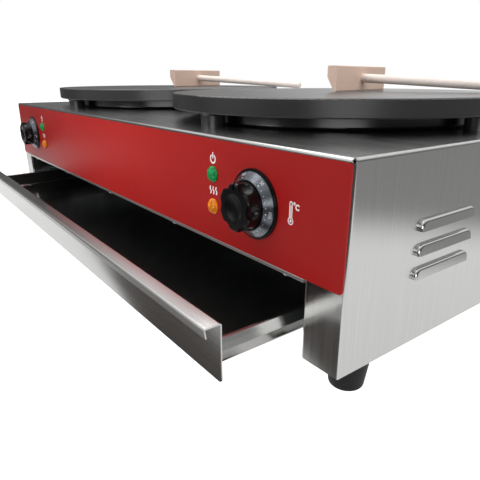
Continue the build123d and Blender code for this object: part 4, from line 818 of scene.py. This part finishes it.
# The scale is printed on the cone in a matt pale grey ink: a numeral and a large dot every
# 61 degrees, and four small dots between.
RIM_RADIUS, RIM_HEIGHT = 27.2 * MM, 3.0 * MM        # outer end of the cone
TOP_RADIUS, TOP_HEIGHT = 21.2 * MM, 8.3 * MM        # inner end of the cone
DOT_CIRCLE, NUMERAL_CIRCLE = 22.7 * MM, 25.2 * MM
NUMERAL_SIZE = 4.0 * MM
NUMERAL_TURN = {"50": 54, "100": -7, "150": -68, "200": -129, "250": -190, "300": -251}
DOT_STEP = 12.2              # degrees, a fifth of the way between two numerals
SMALL_DOT = {"Dot Radius": 0.36 * MM, "Ink": INK}
LARGE_DOT = {"Dot Radius": 0.62 * MM, "Ink": INK}
cone_run = Vector((RIM_RADIUS - TOP_RADIUS, TOP_HEIGHT - RIM_HEIGHT)).normalized()
ink_grey = mottled("pale grey screen printing ink", size=0.7 * MM, detail=2.0,
                   tones=("#C2C8CD", "#DDE1E4"), roughness=0.55)


def on_cone(side, radius, turn):
    """Place on a scale ring's cone, its outward normal and its outward slope."""
    low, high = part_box("bezel_" + side)
    height = RIM_HEIGHT + (RIM_RADIUS - radius) * cone_run.y / cone_run.x
    ray = Vector((cos(radians(turn)), 0, sin(radians(turn))))
    centre = Vector(((low.x + high.x) / 2, FASCIA_FACE, (low.z + high.z) / 2))
    front = Vector((0, -1, 0))
    return (centre + ray * radius + front * height, ray * cone_run.y + front * cone_run.x,
            ray * cone_run.x - front * cone_run.y)


def dot_tree():
    """Round spots of ink that lie flat on what carries them."""
    tree, size = repeat_tree("printed dots", SMALL_DOT)
    spot = add(tree, "GeometryNodeMeshCylinder", [
        ("Vertices", 12), ("Radius", size["Dot Radius"]), ("Depth", size["Ink"])])
    return close_tree(tree, size["Points"], spot, ink_grey)


def numeral(text, place, normal, up):
    """A raised ink numeral, its foot towards the knob."""
    letters = bpy.data.curves.new(text, "FONT")
    letters.body = text
    letters.size = NUMERAL_SIZE
    letters.align_x = "CENTER"
    letters.align_y = "CENTER"
    letters.extrude = INK / 2
    letters.resolution_u = 3
    writing = bpy.data.objects.new(text, letters)
    mesh = bpy.data.meshes.new_from_object(writing)
    bpy.data.objects.remove(writing)
    axes = Matrix((up.cross(normal), up, normal)).transposed().to_4x4()
    mesh.transform(Matrix.Translation(place) @ axes)
    return mesh


dots = dot_tree()
numeral_turns = list(NUMERAL_TURN.values())
small_turns = [start - DOT_STEP * step for start in numeral_turns[:-1] for step in range(1, 5)]
for side in SIDES:
    for name, sizes, turns in (("dial_large_dots_", LARGE_DOT, numeral_turns),
                               ("dial_small_dots_", SMALL_DOT, small_turns)):
        ring = grow(name + side, dots, sizes, [on_cone(side, DOT_CIRCLE, turn) for turn in turns])
        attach(ring, "housing")
    writing = bmesh.new()
    for text, turn in NUMERAL_TURN.items():
        writing.from_mesh(numeral(text, *on_cone(side, NUMERAL_CIRCLE, turn)))
    new_piece("dial_numerals_" + side, writing, ink_grey)


# ---- Thermostats, lamps, glands and terminal blocks
# Bought-in parts: steel-cased thermostats, acrylic lamp lenses in black polyamide barrels,
# polyamide glands with locknuts, steatite terminal blocks.
def lens_acrylic(name, colour, bright):
    """Tinted acrylic, moulded with small pyramids 1.7 mm across, which glint; each facet's tint is also
    lighter or darker at random, a painted glint.
    """
    material, tree, place = new_material(name)
    facets = add(tree, "ShaderNodeTexVoronoi", [("Vector", place), ("Scale", 1 / (1.7 * MM))])
    facet = add(tree, "ShaderNodeSeparateColor", [(0, facets.outputs["Color"])])
    tint_and_painted_glints = add(tree, "ShaderNodeMix", [(0, facet), (6, colour), (7, bright)], data_type="RGBA")
    relief = add(tree, "ShaderNodeBump", [
        ("Strength", 0.6), ("Distance", 0.4 * MM), ("Height", facets.outputs["Distance"])])
    acrylic = add(tree, "ShaderNodeBsdfPrincipled", [
        ("Base Color", tint_and_painted_glints), ("Roughness", 0.16), ("IOR", 1.49), ("Specular IOR Level", 0.3),
        ("Normal", relief)])
    add(tree, "ShaderNodeOutputMaterial", [(0, acrylic)])
    return material


polyamide = moulded_black("black polyamide", "#111112", "#222223", roughness=0.45, grain=0.6)
# The second tone of each lens is a painted glint.
green_acrylic = lens_acrylic("green acrylic lens", "#006430", "#00AC5A")
amber_acrylic = lens_acrylic("amber acrylic lens", "#C86200", "#FF9E0C")
# Steatite is a cream white ceramic, half matt.
steatite = mottled("steatite ceramic", size=1.2 * MM, detail=4.0, tones=("#D8D0BE", "#EFE9DA"),
                   roughness=0.4)

LENS_RADIUS = 7.4 * MM
LENS_CAP = 3.6 * MM          # from the lens's rim to the top of its dome
FACETED = 0.84               # the share of the radius that has pyramids
FACET_SINK = 0.1 * MM        # into the dome
FACET = {"Facet Width": 1.7 * MM, "Facet Height": 0.5 * MM}


def facet_tree(name, acrylic):
    """Four-sided pyramids on a dome, point outwards."""
    tree, size = repeat_tree(name, FACET)
    half_diagonal = add(tree, "ShaderNodeMath", [
        (0, size["Facet Width"]), (1, 0.7)], operation="MULTIPLY")
    pyramid = add(tree, "GeometryNodeMeshCone", [
        ("Vertices", 4), ("Radius Top", 0.0), ("Radius Bottom", half_diagonal),
        ("Depth", size["Facet Height"])])
    return close_tree(tree, size["Points"], pyramid, acrylic)


dome_radius = (LENS_RADIUS ** 2 + LENS_CAP ** 2) / (2 * LENS_CAP)
grid = [Vector((column, 0, row)) * FACET["Facet Width"]
        for column in range(-3, 4) for row in range(-3, 4)]
rays = [(spot - Vector((0, (dome_radius ** 2 - spot.length_squared) ** 0.5, 0))).normalized()
        for spot in grid if spot.length < FACETED * LENS_RADIUS]
for colour, acrylic in (("green", green_acrylic), ("amber", amber_acrylic)):
    pyramids = facet_tree(colour + " lens facets", acrylic)
    for side in SIDES:
        finish("lens_" + colour + "_" + side, acrylic)
        low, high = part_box("lens_" + colour + "_" + side)
        middle = Vector(((low.x + high.x) / 2, low.y + dome_radius, (low.z + high.z) / 2))
        facets = grow("lens_facets_" + colour + "_" + side, pyramids, FACET,
                      [(middle + ray * (dome_radius - FACET_SINK), ray) for ray in rays])
        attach(facets, "housing")

finish("lamp_bodies", polyamide)
finish("gland_locknuts", polyamide)
for side in SIDES:
    finish("thermostat_" + side, zinc_sheet)
    finish("cable_gland_" + side, polyamide)
    finish("terminal_block_" + side, steatite)


# ---- Batter spreaders
# Each is a planed beech blade with a turned beech handle glued into it, unvarnished. They lie
# loose on the plates.
def planed_beech(name, pale, dark, grain_turn):
    """Raw beech: pink-tan with growth lines about 3 mm apart and short dark ray flecks."""
    material, tree, place = new_material(name)
    turned = add(tree, "ShaderNodeMapping", [
        ("Vector", place), ("Rotation", (0, 0, radians(-grain_turn)))])
    along_grain = add(tree, "ShaderNodeMapping", [
        ("Vector", turned), ("Scale", (1 / (45 * MM), 1 / (3 * MM), 1 / (3 * MM)))])
    lines = add(tree, "ShaderNodeTexNoise", [
        ("Vector", along_grain), ("Scale", 1.0), ("Detail", 4.0), ("Distortion", 0.4)])
    fleck_scale = add(tree, "ShaderNodeMapping", [
        ("Vector", turned), ("Scale", (1 / (5 * MM), 1 / (0.5 * MM), 1 / (0.5 * MM)))])
    flecks = add(tree, "ShaderNodeTexNoise", [("Vector", fleck_scale), ("Scale", 1.0), ("Detail", 2.0)])
    wood = add(tree, "ShaderNodeMix", [(0, lines), (6, dark), (7, pale)], data_type="RGBA")
    fleck = add(tree, "ShaderNodeMapRange", [
        ("Value", flecks), ("From Min", 0.62), ("From Max", 0.7), ("To Max", 0.35)])
    colour = add(tree, "ShaderNodeMix", [(0, fleck), (6, wood), (7, "#9A6B4C")], data_type="RGBA")
    relief = add(tree, "ShaderNodeBump", [
        ("Strength", 0.15), ("Distance", 0.1 * MM), ("Height", lines)])
    beech = add(tree, "ShaderNodeBsdfPrincipled", [
        ("Base Color", colour), ("Roughness", 0.62), ("Normal", relief)])
    add(tree, "ShaderNodeOutputMaterial", [(0, beech)])
    return material


BLADE_TURN = {"left": 108.0, "right": 103.1}        # degrees from +X
for side, turn in BLADE_TURN.items():
    blade = planed_beech("planed beech blade, " + side, "#EBD2C2", "#DDBBA6", turn)
    handle = planed_beech("turned beech handle, " + side, "#F8EEE8", "#EFDFD5", turn - 90)
    finish("spreader_blade_" + side, blade)
    finish("spreader_handle_" + side, handle)
